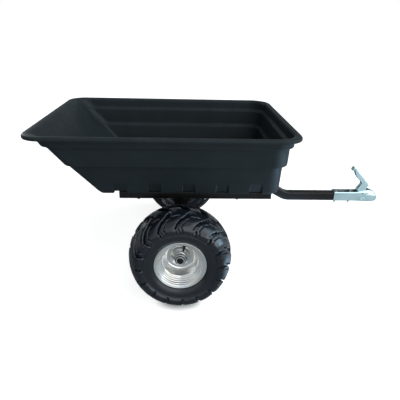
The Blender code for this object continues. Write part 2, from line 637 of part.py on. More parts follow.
def main():
    """Builds every piece, with the whole trailer's middle over the origin."""
    for old in list(bpy.data.objects):
        bpy.data.objects.remove(old, do_unlink=True)
    plastic = material("charcoal_plastic", (0.016, 0.021, 0.024), 0.0, 0.45)
    black = material("black_powder_coat", (0.012, 0.012, 0.013), 0.0, 0.35)
    zinc = material("zinc_plate", (0.62, 0.68, 0.71), 1.0, 0.35)
    galvanised = material("galvanised_steel", (0.60, 0.61, 0.62), 1.0, 0.35)
    bearing = material("bearing_steel", (0.66, 0.66, 0.65), 1.0, 0.30)
    rubber = material("tyre_rubber", (0.014, 0.016, 0.021), 0.0, 0.55)
    valve_rubber = material("valve_rubber", (0.010, 0.010, 0.010), 0.0, 0.60)
    finishes = {"tyre": rubber, "rim": galvanised, "bearing": bearing, "valve": valve_rubber}

    trailer = empty("trailer", None, (-WHOLE_CENTRE_X, 0, 0))
    build_drawbar(trailer, black)
    build_pedestal(trailer, black, zinc)
    build_axle(trailer, black, bearing)
    build_coupler(trailer, zinc, zinc)
    build_lever(empty("lever_pivot", trailer, LEVER_PIVOT), zinc)
    build_jaw(empty("jaw_pivot", trailer, JAW_PIVOT), zinc)
    build_latch(trailer, black, zinc)
    for side, sign in SIDES.items():
        spot = (0, sign * TRACK / 2, TYRE_RADIUS)
        hub = empty(f"{side}_wheel", trailer, spot, (-sign * math.pi / 2, 0, 0))
        build_wheel(side, finishes, hub)
    tipping = empty("tipping_body", trailer, (0, 0, 0))
    build_tub(tipping, plastic)
    build_subframe(tipping, black)
    build_tub_bolts(tipping, zinc)
    build_pivot_bush(tipping, black)
    build_striker(tipping, black)


main()
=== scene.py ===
"""Looks of the all-terrain vehicle trailer: fine surfaces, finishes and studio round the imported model.

Lengths are in metres. Shapes are written from the axle, as the trailer is drawn: X forward, Y to the
left, Z up from the ground. Every piece is moved by AXLE_X into the row's frame as its mesh is made.
"""

import logging
import math
from dataclasses import dataclass
from enum import Enum
from typing import Any, Sequence

import bpy
import numpy as np
from mathutils import Matrix, Vector

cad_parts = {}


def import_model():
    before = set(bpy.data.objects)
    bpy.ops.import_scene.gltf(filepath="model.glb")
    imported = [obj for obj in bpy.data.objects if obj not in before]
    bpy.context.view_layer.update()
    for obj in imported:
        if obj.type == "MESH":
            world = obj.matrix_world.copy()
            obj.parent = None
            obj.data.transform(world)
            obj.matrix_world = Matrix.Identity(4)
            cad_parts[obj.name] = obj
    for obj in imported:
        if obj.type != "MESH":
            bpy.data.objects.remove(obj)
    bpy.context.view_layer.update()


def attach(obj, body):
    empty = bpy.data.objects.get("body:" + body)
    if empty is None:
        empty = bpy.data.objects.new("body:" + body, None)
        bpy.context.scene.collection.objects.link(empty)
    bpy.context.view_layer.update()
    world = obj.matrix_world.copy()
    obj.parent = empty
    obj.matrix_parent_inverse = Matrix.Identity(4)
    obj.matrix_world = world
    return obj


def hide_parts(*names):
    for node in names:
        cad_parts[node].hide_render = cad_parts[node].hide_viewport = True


LOG = logging.getLogger("trailer")
Array = np.ndarray
Tree = bpy.types.NodeTree
Socket = bpy.types.NodeSocket
Colour = tuple[float, float, float]

AXLE_X = -0.2125
SIDES = {"left": 1, "right": -1}

TRACK = 0.950
WHEEL_RADIUS = 0.2285
TUB_FLOOR = 0.475
TUB_WALL = 0.004
TUB_TOP = 0.755
RAIL_Y = 0.316
RAIL_MIDDLE = 0.4572
SPINE_Z = 0.4169
PIVOT = (-0.120, 0.4244)
HUB_REACH = 0.052
GAP = 0.0003


class Slot(Enum):
    """Material slots of the record."""

    TUB = "tub_plastic"
    FRAME = "frame_black"
    COUPLER = "coupler_zinc"
    FASTENER = "fastener_zinc"
    RIM = "rim_galvanised"
    BEARING = "bearing_steel"
    TYRE = "tyre_rubber"
    VALVE = "valve_rubber"


class Body(Enum):
    """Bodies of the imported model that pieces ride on."""

    CHASSIS = "chassis"
    LEFT_WHEEL = "left_wheel"
    RIGHT_WHEEL = "right_wheel"
    TIPPING = "tipping_body"
    LEVER = "coupler_lever"
    JAW = "locking_jaw"
    LATCH = "tub_latch"


class Way(Enum):
    """Directions that a turned piece's own Z axis may be pointed in."""

    UP = "up"
    LEFT = "left"
    RIGHT = "right"


# Surfaces


@dataclass
class Surface:
    """One closed surface.

    Attributes:
        points: Corner places, one row each.
        faces: Corner numbers of each face.
    """

    points: Array
    faces: list[list[int]]

    def volume(self) -> float:
        """Returns the room inside: a sixth of the sum of the triple products of a fan over each face.

        Returns:
            The volume, negative where the faces look inwards.
        """
        total = 0.0
        by_size: dict[int, list[list[int]]] = {}
        for face in self.faces:
            by_size.setdefault(len(face), []).append(face)
        for size, group in by_size.items():
            corners = self.points[np.array(group)]
            for k in range(1, size - 1):
                normals = np.cross(corners[:, k], corners[:, k + 1])
                total += float(np.einsum("ij,ij->", corners[:, 0], normals))
        return total / 6

    def outward(self) -> "Surface":
        """Returns the surface with its faces turned outwards.

        Returns:
            This surface, or one with every face turned round.
        """
        if self.volume() < 0:
            self.faces = [face[::-1] for face in self.faces]
        return self


def together(surfaces: Sequence[Surface]) -> Surface:
    """Puts closed surfaces side by side in one.

    Args:
        surfaces: Closed surfaces that may touch.

    Returns:
        One surface that holds them all.
    """
    faces: list[list[int]] = []
    first = 0
    for surface in surfaces:
        faces += [[corner + first for corner in face] for face in surface.faces]
        first += len(surface.points)
    return Surface(np.vstack([surface.points for surface in surfaces]), faces)


def stacked(loops: Array, ring: bool = False) -> Surface:
    """Closes a stack of loops: point j of loop i joins points j and j + 1 of loop i + 1.

    Args:
        loops: Array of loops by points by three.
        ring: Joins the last loop to the first; otherwise one face closes each end.

    Returns:
        The closed surface.
    """
    rows, columns = loops.shape[:2]
    number = np.arange(rows * columns).reshape(rows, columns)
    lower = number if ring else number[:-1]
    upper = np.roll(number, -1, axis=0) if ring else number[1:]
    quads = np.stack([lower, np.roll(lower, -1, 1), np.roll(upper, -1, 1), upper], axis=-1)
    faces = quads.reshape(-1, 4).tolist()
    if not ring:
        faces += [number[0][::-1].tolist(), number[-1].tolist()]
    return Surface(loops.reshape(-1, 3), faces).outward()


def rounded(corners: Sequence, radius: Any, steps: int = 4, closed: bool = False) -> Array:
    """Rounds each corner of a path.

    A corner c with neighbours a and b becomes the quadratic curve that starts r before c on the way
    from a, is pulled by c and ends r after it on the way to b; r never passes 0.45 of either edge.

    Args:
        corners: Points in any number of dimensions.
        radius: One distance r, or one for each corner.
        steps: Pieces of each curve.
        closed: Joins the last corner to the first.

    Returns:
        The points of the rounded path.
    """
    corners = np.asarray(corners, float)
    before = np.roll(corners, 1, axis=0) - corners
    after = np.roll(corners, -1, axis=0) - corners
    reach = np.broadcast_to(np.asarray(radius, float), len(corners))[:, None]
    lengths = [np.maximum(np.linalg.norm(side, axis=1, keepdims=True), 1e-9) for side in (before, after)]
    cut = np.minimum(reach, 0.45 * np.minimum(*lengths))
    start = corners + before / lengths[0] * cut
    end = corners + after / lengths[1] * cut
    t = np.linspace(0, 1, steps + 1)[None, :, None]
    curve = (1 - t) ** 2 * start[:, None] + 2 * t * (1 - t) * corners[:, None] + t**2 * end[:, None]
    if closed:
        return curve.reshape(-1, corners.shape[1])
    middle = curve[1:-1].reshape(-1, corners.shape[1])
    return np.vstack([corners[:1], middle, corners[-1:]])


def densified(path: Array, longest: Any) -> Array:
    """Adds points along a path so that no edge is longer than a limit.

    Each edge is split into equal parts, and each coordinate is read off against the length along it.

    Args:
        path: Points in any number of dimensions.
        longest: The limit, or one for each edge.

    Returns:
        The path with its own points kept.
    """
    lengths = np.linalg.norm(np.diff(path, axis=0), axis=1)
    along = np.concatenate([[0.0], np.cumsum(lengths)])
    counts = np.maximum(1, np.ceil(lengths / longest).astype(int))
    marks = [np.linspace(a, b, n, endpoint=False) for a, b, n in zip(along, along[1:], counts)]
    marks.append(along[-1:])
    joined = np.concatenate(marks)
    return np.stack([np.interp(joined, along, column) for column in path.T], axis=1)


def smooth_step(value: Any, low: float, high: float) -> Array:
    """Rises from 0 to 1 between low and high as 3t^2 - 2t^3."""
    t = np.clip((np.asarray(value, float) - low) / (high - low), 0, 1)
    return t * t * (3 - 2 * t)


def arc(centre: Sequence[float], radius: float, start: float, end: float, steps: int) -> list:
    """Draws an arc, with its angles in degrees anticlockwise from the first axis.

    Args:
        centre: Its centre.
        radius: Its radius.
        start: Angle of its first point.
        end: Angle of its last point.
        steps: Its pieces.

    Returns:
        Its points, as pairs.
    """
    turns = np.radians(np.linspace(start, end, steps + 1))
    x = centre[0] + radius * np.cos(turns)
    y = centre[1] + radius * np.sin(turns)
    return np.stack([x, y], axis=1).tolist()


def circled(reach: Array, heights: Array, sides: int) -> Array:
    """Draws loops round Z: a point stands at (r cos t, r sin t, h) for its turn t.

    Args:
        reach: Radius r of each loop, or of each point of each loop.
        heights: Height h of each loop.
        sides: Points in a loop.

    Returns:
        Loops by points by three.
    """
    turns = np.linspace(0, math.tau, sides, endpoint=False)
    reach = np.broadcast_to(reach.reshape(len(heights), -1), (len(heights), sides))
    z = np.broadcast_to(heights[:, None], reach.shape)
    return np.stack([reach * np.cos(turns), reach * np.sin(turns), z], axis=-1)


def revolved(profile: Sequence, sides: int, ring: bool = False) -> Surface:
    """Turns (radius, height) points round Z.

    Args:
        profile: The points in order along the section.
        sides: Steps round the axis.
        ring: The section is closed; otherwise one face closes each end.

    Returns:
        The closed surface.
    """
    radius, height = np.asarray(profile, float).T
    return stacked(circled(radius, height, sides), ring)


def washer(inside: float, outside: float, low: float, high: float, radius: float, sides: int) -> Surface:
    """A flat ring round Z between two radii and two heights, with its edges rounded."""
    section = [(inside, low), (outside, low), (outside, high), (inside, high)]
    return revolved(rounded(section, radius, 2, closed=True), sides, ring=True)


def pointed(surface: Surface, way: Way, spot: Sequence[float]) -> Surface:
    """Points a surface's Z axis in one direction and moves it to a spot.

    Args:
        surface: The surface about its own origin.
        way: Where its Z axis goes.
        spot: Where its origin goes.

    Returns:
        The same surface, moved.
    """
    x, y, z = surface.points.T
    places = {Way.UP: (x, y, z), Way.LEFT: (x, z, -y), Way.RIGHT: (x, -z, y)}
    surface.points = np.stack(places[way], axis=1) + np.asarray(spot, float)
    return surface


def swept(section: Array, path: Array, across: Sequence[float] = (0, 1, 0)) -> Array:
    """Carries a flat section along a path that stays square to one direction.

    At each station the section's first axis runs across and its second runs square to both that and
    the path's direction, which is read between the neighbours of the station.

    Args:
        section: (across, up) points.
        path: Stations, three numbers each.
        across: The direction that the path stays square to.

    Returns:
        Loops by points by three.
    """
    side = np.asarray(across, float)
    padded = np.vstack([path[:1], path, path[-1:]])
    along = padded[2:] - padded[:-2]
    along /= np.linalg.norm(along, axis=1, keepdims=True)
    up = np.cross(along, side)
    return path[:, None] + section[None, :, :1] * side + section[None, :, 1:] * up[:, None]


def slab(outline: Array, thickness: float, middle: float, edge: float, steps: int = 3) -> Surface:
    """A flat plate with rounded edges, thick along Y.

    Loop k of the edge is the (x, z) outline drawn in along its own normals by edge (1 - sin a), at
    edge cos a inside the plate's face, for angles a from 0 to a right angle.

    Args:
        outline: Closed (x, z) outline, anticlockwise with X to the right and Z up.
        thickness: Thickness of the plate.
        middle: Y of its middle.
        edge: Radius of its edges.
        steps: Steps of each rounding.

    Returns:
        The closed surface.
    """
    outline = np.asarray(outline, float)
    along = np.roll(outline, -1, axis=0) - np.roll(outline, 1, axis=0)
    along /= np.maximum(np.linalg.norm(along, axis=1, keepdims=True), 1e-9)
    outward = np.stack([along[:, 1], -along[:, 0]], axis=1)
    angles = np.linspace(0, math.pi / 2, steps + 1)
    drawn = edge * (1 - np.sin(angles))
    depth = thickness / 2 - edge * (1 - np.cos(angles))
    drawn = np.concatenate([drawn, drawn[::-1]])
    heights = np.concatenate([depth, -depth[::-1]])
    flat = outline[None] - drawn[:, None, None] * outward[None]
    y = np.broadcast_to(heights[:, None] + middle, flat.shape[:2])
    return stacked(np.stack([flat[..., 0], y, flat[..., 1]], axis=-1))


def square_section(width: float, corner: float) -> Array:
    """The (across, up) outline of a square with rounded corners."""
    half = width / 2
    return rounded([(half, -half), (half, half), (-half, half), (-half, -half)], corner, closed=True)


def square_tube(path: Array, width: float, wall: float, across: Sequence[float] = (0, 1, 0)) -> Surface:
    """A hollow square tube: its outer skin one way along the path and its bore back again.

    Args:
        path: Stations of its centre line.
        width: Outside width.
        wall: Thickness of its wall.
        across: The direction that the path stays square to.

    Returns:
        The closed surface.
    """
    outer_corner, inner_corner = 0.0055, 0.0030
    path = np.asarray(path, float)
    outside = swept(square_section(width, outer_corner), path, across)
    bore = swept(square_section(width - 2 * wall, inner_corner), path, across)[::-1]
    return stacked(np.concatenate([outside, bore]), ring=True)


def round_bar(path: Array, radius: float, sides: int) -> Surface:
    """A round bar along a path that stays level."""
    circle = circled(np.array([radius]), np.zeros(1), sides)[0, :, :2]
    return stacked(swept(circle, path, (0, 0, 1)))


def hexagonal(across_flats: float, bottom: float, top: float, sides: int = 72) -> Array:
    """Loops of a hexagon head with turned chamfers.

    The radius at turn t and height h is the smaller of the hexagon's, half the flats over the cosine
    of the turn from the nearest flat, and a cone's, which ends just inside the flats at the top and
    just outside them at the bottom.

    Args:
        across_flats: Distance between opposite flats.
        bottom: Height of the lower end.
        top: Height of the upper end.
        sides: Points round the head.

    Returns:
        Loops by points by three.
    """
    turns = np.linspace(0, math.tau, sides, endpoint=False)
    from_flat = (turns + math.pi / 6) % (math.pi / 3) - math.pi / 6
    hexagon = across_flats / 2 / np.cos(from_flat)
    heights = np.linspace(bottom, top, 15)
    from_end = np.minimum(top - heights, (heights - bottom) + across_flats * 0.03)
    cone = across_flats * 0.475 + from_end * math.sqrt(3)
    return circled(np.minimum(hexagon[None], cone[:, None]), heights, sides)


def threaded(radius: float, start: float, end: float, sides: int, pitch: float = 0.00125) -> Array:
    """Loops of a thread: the radius swings by a third of the pitch with height over pitch less turn.

    Over the last pitch it also draws in by 0.6 of the pitch, as a chamfer.

    Args:
        radius: Outside radius.
        start: Height where it starts.
        end: Height where it ends.
        sides: Points round the bar.
        pitch: Distance between crests.

    Returns:
        Loops by points by three.
    """
    turns = np.linspace(0, math.tau, sides, endpoint=False)
    count = max(2, int(abs(end - start) / pitch * 4))
    heights = np.linspace(start, end, count)
    wave = np.cos(math.tau * heights[:, None] / pitch - turns[None])
    fade = smooth_step(np.abs(heights - end), 0, pitch)[:, None]
    reach = radius - pitch * (0.17 - 0.17 * wave) - pitch * 0.6 * (1 - fade)
    return circled(reach, heights, sides)


def placed(name: str, data: Any) -> bpy.types.Object:
    """Makes an object of a mesh, a lamp or a camera and links it to the scene.

    Args:
        name: The object's name.
        data: Its mesh, light or camera.

    Returns:
        The object.
    """
    made = bpy.data.objects.new(name, data)
    bpy.context.scene.collection.objects.link(made)
    return made


def meshed(name: str, surface: Surface) -> bpy.types.Object:
    """Makes an object of a surface and links it to the scene.

    Args:
        name: The object's name.
        surface: Its points and faces.

    Returns:
        The object.
    """
    mesh = bpy.data.meshes.new(name)
    mesh.from_pydata(surface.points.tolist(), [], surface.faces)
    return placed(name, mesh)


def carve(piece: bpy.types.Object, cutters: Sequence[Surface]) -> None:
    """Takes closed surfaces out of a piece and keeps the result as its mesh.

    Args:
        piece: The piece to cut.
        cutters: The surfaces to take away, in the piece's own coordinates.
    """
    tools = [meshed(f"cutter_{number}", surface) for number, surface in enumerate(cutters)]
    for tool in tools:
        step = piece.modifiers.new(tool.name, "BOOLEAN")
        step.object = tool
        step.operation = "DIFFERENCE"
        step.solver = "EXACT"
    graph = bpy.context.evaluated_depsgraph_get()
    made = bpy.data.meshes.new_from_object(piece.evaluated_get(graph))
    piece.modifiers.clear()
    piece.data = made
    for tool in tools:
        bpy.data.objects.remove(tool, do_unlink=True)


# Shader nodes


class Sheet:
    """A node tree with short calls for adding nodes and joining them."""

    def __init__(self, tree: Tree) -> None:
        """Keeps the tree."""
        self.tree = tree

    def feed(self, node: bpy.types.Node, values: dict[Any, Any]) -> None:
        """Feeds a node's inputs.

        Args:
            node: The node.
            values: For each input, by name or number, a value or the socket that feeds it.
        """
        for name, value in values.items():
            if isinstance(value, Socket):
                self.tree.links.new(value, node.inputs[name])
            else:
                node.inputs[name].default_value = value

    def add(self, kind: str, values: dict[Any, Any] | None = None, **settings: Any) -> bpy.types.Node:
        """Adds a node.

        Args:
            kind: The node's type without its ShaderNode prefix, or in full for a group's ends.
            values: What its inputs are fed.
            settings: Properties of the node.

        Returns:
            The node.
        """
        node = self.tree.nodes.new(kind if kind.startswith("NodeGroup") else f"ShaderNode{kind}")
        for name, value in settings.items():
            setattr(node, name, value)
        self.feed(node, values or {})
        return node

    def math(self, operation: str, *terms: Any, clamp: bool = False) -> Socket:
        """Adds a Math node on numbers or sockets and returns its output."""
        return self.add("Math", dict(enumerate(terms)), operation=operation, use_clamp=clamp).outputs[0]

    def mix(self, share: Any, first: Any, second: Any, blend: str = "MIX") -> Socket:
        """Mixes two colours by a share and returns the colour."""
        values = {0: share, 6: first, 7: second}
        return self.add("Mix", values, data_type="RGBA", blend_type=blend).outputs[2]

    def noise(self, where: Socket, scale: Any, detail: float, **values: float) -> bpy.types.Node:
        """Adds a noise over coordinates."""
        return self.add("TexNoise", {"Vector": where, "Scale": scale, "Detail": detail, **values})

    def parts(self, vector: Socket) -> Any:
        """Splits a vector and returns the sockets X, Y and Z."""
        return self.add("SeparateXYZ", {0: vector}).outputs

    def span(self, value: Socket, low: float, high: float, to_low: Any = 0.0, to_high: Any = 1.0,
             smooth: bool = False) -> Socket:
        """Maps a value from one pair of limits to another, and holds it there past them.

        Args:
            value: The value.
            low: What becomes to_low.
            high: What becomes to_high.
            to_low: The first new limit.
            to_high: The second new limit.
            smooth: Eases in and out instead of running straight.

        Returns:
            The mapped value.
        """
        limits = {"Value": value, "From Min": low, "From Max": high, "To Min": to_low, "To Max": to_high}
        easing = "SMOOTHSTEP" if smooth else "LINEAR"
        return self.add("MapRange", limits, interpolation_type=easing).outputs[0]

    def off_axis(self, parts: Any) -> Socket:
        """Returns the distance from the Y axis: the root of X squared plus Z squared."""
        squares = [self.math("POWER", parts[axis], 2.0) for axis in ("X", "Z")]
        return self.math("SQRT", self.math("ADD", *squares))


class Group(Sheet):
    """A node group in the making: named inputs and one number as its output."""

    def __init__(self, name: str, result: str, **inputs: float | None) -> None:
        """Makes the group's sockets and its two ends.

        Args:
            name: The group's name.
            result: Name of its output.
            inputs: Default of each input by name, where None stands for a vector.
        """
        super().__init__(bpy.data.node_groups.new(name, "ShaderNodeTree"))
        face = self.tree.interface
        for label, default in inputs.items():
            kind = "NodeSocketVector" if default is None else "NodeSocketFloat"
            socket = face.new_socket(label, in_out="INPUT", socket_type=kind)
            if default is not None:
                socket.default_value = default
        face.new_socket(result, in_out="OUTPUT", socket_type="NodeSocketFloat")
        self.given = self.add("NodeGroupInput").outputs
        self.end = self.add("NodeGroupOutput")

    def giving(self, result: Socket) -> Tree:
        """Joins the result to the group's output and returns the finished tree."""
        self.feed(self.end, {0: result})
        return self.tree


class Effects:
    """Node groups that several finishes share. Each is built once."""

    def __init__(self) -> None:
        """Builds every group."""
        self.clouds = self._clouds()
        self.grain = self._grain()
        self.dust = self._dust()
        self.scuffs = self._scuffs()
        self.spangle = self._spangle()
        self.turning = self._turning()

    @staticmethod
    def _clouds() -> Tree:
        """Soft patches between a low and a high value.

        Returns:
            The node group.
        """
        group = Group("soft_clouds", "Value", Vector=None, Scale=8, Low=0, High=1)
        given = group.given
        noise = group.noise(given["Vector"], given["Scale"], 4.0, Roughness=0.55)
        return group.giving(group.span(noise.outputs["Fac"], 0.32, 0.68, given["Low"], given["High"]))

    @staticmethod
    def _grain() -> Tree:
        """Moulded leather-like grain: small cells broken up by noise, as a height.

        Returns:
            The node group.
        """
        group = Group("moulded_grain", "Height", Vector=None, Scale=900)
        given = group.given
        values = {"Vector": given["Vector"], "Scale": given["Scale"], "Smoothness": 0.6}
        cells = group.add("TexVoronoi", values, feature="SMOOTH_F1")
        noise = group.noise(given["Vector"], group.math("MULTIPLY", given["Scale"], 0.45), 3.0)
        total = group.math("ADD", cells.outputs["Distance"], noise.outputs["Fac"])
        return group.giving(group.math("MULTIPLY", total, 0.6))

    @staticmethod
    def _dust() -> Tree:
        """Where dust settles: surfaces that face up when the trailer stands, in patches.

        Returns:
            The node group.
        """
        group = Group("settled_dust", "Mask", Vector=None, Normal=None, Scale=20, Amount=0.5)
        given = group.given
        upward = group.math("MAXIMUM", group.parts(given["Normal"])["Z"], 0.0)
        noise = group.noise(given["Vector"], given["Scale"], 6.0, Roughness=0.65)
        patches = group.span(noise.outputs["Fac"], 0.35, 0.75)
        mask = group.math("MULTIPLY", group.math("POWER", upward, 2.0), patches)
        return group.giving(group.math("MULTIPLY", mask, given["Amount"], clamp=True))

    @staticmethod
    def _scuffs() -> Tree:
        """Fine rubbed lines that run along X, thin where the noise is thin.

        Returns:
            The node group.
        """
        group = Group("rubbed_lines", "Mask", Vector=None, Scale=60, Amount=0.5)
        given = group.given
        long = group.add("Mapping", {"Vector": given["Vector"], "Scale": (0.06, 1.0, 1.3)}).outputs[0]
        lines = group.noise(long, given["Scale"], 5.0, Roughness=0.7, Distortion=0.6)
        where = group.noise(given["Vector"], 5.0, 2.0)
        mask = group.math("MULTIPLY", group.span(lines.outputs["Fac"], 0.60, 0.72),
                          group.span(where.outputs["Fac"], 0.48, 0.62))
        return group.giving(group.math("MULTIPLY", mask, given["Amount"], clamp=True))

    @staticmethod
    def _spangle() -> Tree:
        """Zinc crystals: each cell has its own tone between low and high.

        Returns:
            The node group.
        """
        group = Group("zinc_crystals", "Value", Vector=None, Scale=160, Low=0, High=1)
        given = group.given
        bend = group.noise(given["Vector"], given["Scale"], 2.0).outputs["Color"]
        bent = group.add("Mix", {0: 0.004, 4: given["Vector"], 5: bend}, data_type="VECTOR").outputs[1]
        cells = group.add("TexVoronoi", {"Vector": bent, "Scale": given["Scale"]})
        tone = group.add("SeparateColor", {0: cells.outputs["Color"]}).outputs[0]
        return group.giving(group.span(tone, 0.0, 1.0, given["Low"], given["High"]))

    @staticmethod
    def _turning() -> Tree:
        """Rings left by turning: a height that swings with the distance from the Y axis and along it.

        Returns:
            The node group.
        """
        group = Group("turning_rings", "Height", Vector=None, Spacing=0.0008)
        parts = group.parts(group.given["Vector"])
        reach = group.math("ADD", group.off_axis(parts), group.math("MULTIPLY", parts["Y"], 0.7))
        turns = group.math("DIVIDE", group.math("MULTIPLY", reach, math.tau), group.given["Spacing"])
        swing = group.math("MULTIPLY", group.math("SINE", turns), 0.25)
        uneven = group.add("TexNoise", {"W": reach, "Scale": 700.0, "Detail": 3.0}, noise_dimensions="1D")
        return group.giving(group.math("ADD", swing, uneven.outputs["Fac"]))


class Paint(Sheet):
    """A material's nodes, with the shared effects laid over the object's own coordinates."""

    def __init__(self, tree: Tree, effects: Effects) -> None:
        """Adds the coordinates.

        Args:
            tree: The material's nodes.
            effects: The shared node groups.
        """
        super().__init__(tree)
        self.effects = effects
        place = self.add("TexCoord").outputs
        self.where = place["Object"]
        self.normal = place["Normal"]

    def lay(self, effect: Tree, **values: Any) -> Socket:
        """Adds an effect with its inputs by name, over the object's coordinates, and returns its output."""
        return self.add("Group", {"Vector": self.where, **values}, node_tree=effect).outputs[0]

    def clouds(self, scale: float, low: float = 0.0, high: float = 1.0) -> Socket:
        """Returns soft patches between two values."""
        return self.lay(self.effects.clouds, Scale=scale, Low=low, High=high)

    def grain(self, scale: float) -> Socket:
        """Returns the height of a moulded grain."""
        return self.lay(self.effects.grain, Scale=scale)

    def scuffs(self, scale: float, amount: float) -> Socket:
        """Returns the mask of rubbed lines."""
        return self.lay(self.effects.scuffs, Scale=scale, Amount=amount)

    def dusted(self, base: Socket, dust: Colour, scale: float, amount: float) -> Socket:
        """Lays dust of a colour over a base colour, on what faces up."""
        mask = self.lay(self.effects.dust, Normal=self.normal, Scale=scale, Amount=amount)
        return self.mix(mask, base, (*dust, 1.0))

    def crystals(self, base: Socket, scale: float, low: float) -> Socket:
        """Tones a base colour by zinc crystals, each between low and 1."""
        tones = self.lay(self.effects.spangle, Scale=scale, Low=low, High=1.0)
        return self.mix(1.0, base, tones, "MULTIPLY")

    def about_axle(self) -> Socket:
        """Returns coordinates with their origin on the wheels' common axis."""
        spot = (-AXLE_X, 0.0, -WHEEL_RADIUS)
        return self.add("Mapping", {"Vector": self.where, "Location": spot}).outputs[0]

    def rings(self, spacing: float) -> Socket:
        """Returns the height of turning rings round the wheels' common axis."""
        return self.lay(self.effects.turning, Vector=self.about_axle(), Spacing=spacing)


@dataclass(frozen=True)
class Bump:
    """How strongly a height shows, and how high it stands."""

    strength: float
    distance: float


@dataclass(frozen=True)
class Finish:
    """A procedural finish with one Principled shader.

    Attributes:
        name: The material's name.
        slot: The record's slot.
        colour: Base colour, linear.
        roughness: Lowest and highest roughness.
        metallic: 0 or 1.
        specular: Specular level of the shader.
        bump: Strength and height of the relief.
    """

    name: str
    slot: Slot
    colour: Colour
    roughness: tuple[float, float]
    metallic: float
    specular: float
    bump: Bump

    def build(self, effects: Effects) -> bpy.types.Material:
        """Makes the material.

        Args:
            effects: The shared node groups.

        Returns:
            The material, with its shader fed by colour, roughness and relief.
        """
        made = bpy.data.materials.new(self.name)
        made.use_nodes = True
        paint = Paint(made.node_tree, effects)
        relief = paint.add("Bump", {"Strength": self.bump.strength, "Distance": self.bump.distance,
                                    "Height": self.relief(paint)})
        paint.feed(made.node_tree.nodes["Principled BSDF"], {
            "Metallic": self.metallic, "Specular IOR Level": self.specular,
            "Base Color": self.tint(paint), "Roughness": self.sheen(paint), "Normal": relief.outputs[0]})
        made.diffuse_color = (*self.colour, 1)
        return made

    def shade(self, factor: float) -> tuple[float, ...]:
        """The base colour made darker or lighter."""
        return (*(part * factor for part in self.colour), 1.0)

    def tint(self, paint: Paint) -> Socket:
        """Returns the colour: soft patches of a darker and a lighter tone."""
        return paint.mix(paint.clouds(7.0), self.shade(0.88), self.shade(1.12))

    def sheen(self, paint: Paint) -> Socket:
        """Returns the roughness: soft patches between its two limits."""
        return paint.clouds(23.0, *self.roughness)

    def relief(self, paint: Paint) -> Socket:
        """Returns the height that the bump reads: moulded grain."""
        return paint.grain(900.0)


@dataclass(frozen=True)
class TubPlastic(Finish):
    """Moulded charcoal plastic: fine stipple, a breath of dust on what faces up, rubbed lines by the rim."""

    dust: Colour = (0.075, 0.085, 0.085)

    def tint(self, paint: Paint) -> Socket:
        """Returns the colour: patches, then dust, then rubbed lines high on the tub.

        Args:
            paint: The material's nodes.

        Returns:
            The colour's socket.
        """
        dusty = paint.dusted(Finish.tint(self, paint), self.dust, 14.0, 0.22)
        high = paint.span(paint.parts(paint.where)["Z"], 0.70, 0.75)
        lines = paint.math("MULTIPLY", high, paint.scuffs(70.0, 0.14))
        return paint.mix(lines, dusty, self.shade(3.2))

    def relief(self, paint: Paint) -> Socket:
        """Returns the height: stipple with a slow waviness of the moulding under it."""
        return paint.math("ADD", paint.grain(1100.0), paint.clouds(5.0, 0.0, 2.5))


@dataclass(frozen=True)
class BlackCoat(Finish):
    """Satin black powder coat with orange peel and a little dust."""

    def tint(self, paint: Paint) -> Socket:
        """Returns the colour: patches, dust on top, and a few rubbed lines."""
        dusty = paint.dusted(Finish.tint(self, paint), (0.05, 0.048, 0.044), 30.0, 0.25)
        return paint.mix(paint.scuffs(110.0, 0.25), dusty, (0.06, 0.06, 0.062, 1.0))

    def relief(self, paint: Paint) -> Socket:
        """Returns the height: orange peel."""
        return paint.clouds(420.0)


@dataclass(frozen=True)
class ZincPlate(Finish):
    """Bright zinc: a pale cast that drifts in patches, fine crystals and rubbed lines."""

    cast: Colour = (0.53, 0.67, 0.69)

    def tint(self, paint: Paint) -> Socket:
        """Returns the colour: plain zinc drifting to its cast, with the crystals' tone on it."""
        drift = paint.mix(paint.clouds(16.0), self.shade(1.0), (*self.cast, 1.0))
        return paint.mix(paint.scuffs(150.0, 0.15), paint.crystals(drift, 380.0, 0.96), self.shade(0.62))

    def relief(self, paint: Paint) -> Socket:
        """Returns the height: faint rolling marks and pits."""
        return paint.clouds(260.0)


@dataclass(frozen=True)
class GalvanisedRim(Finish):
    """Pressed galvanised steel with crystals and the rings of its spinning."""

    def tint(self, paint: Paint) -> Socket:
        """Returns the colour: faint crystals over soft patches, a warmer tone in some of them that is partly
        painted reflection.
        """
        # Partly painted reflection: the warm patches are the steel's own drift and also stand in for warm
        # surroundings mirrored in the disc.
        drift = paint.mix(paint.clouds(9.0), self.shade(1.0), (0.70, 0.66, 0.60, 1.0))
        return paint.crystals(drift, 200.0, 0.965)

    def relief(self, paint: Paint) -> Socket:
        """Returns the height: rings round the axle."""
        return paint.rings(0.0022)


@dataclass(frozen=True)
class GroundSteel(Finish):
    """Ground steel with fine turning rings."""

    def relief(self, paint: Paint) -> Socket:
        """Returns the height: fine rings round the axle."""
        return paint.rings(0.0005)


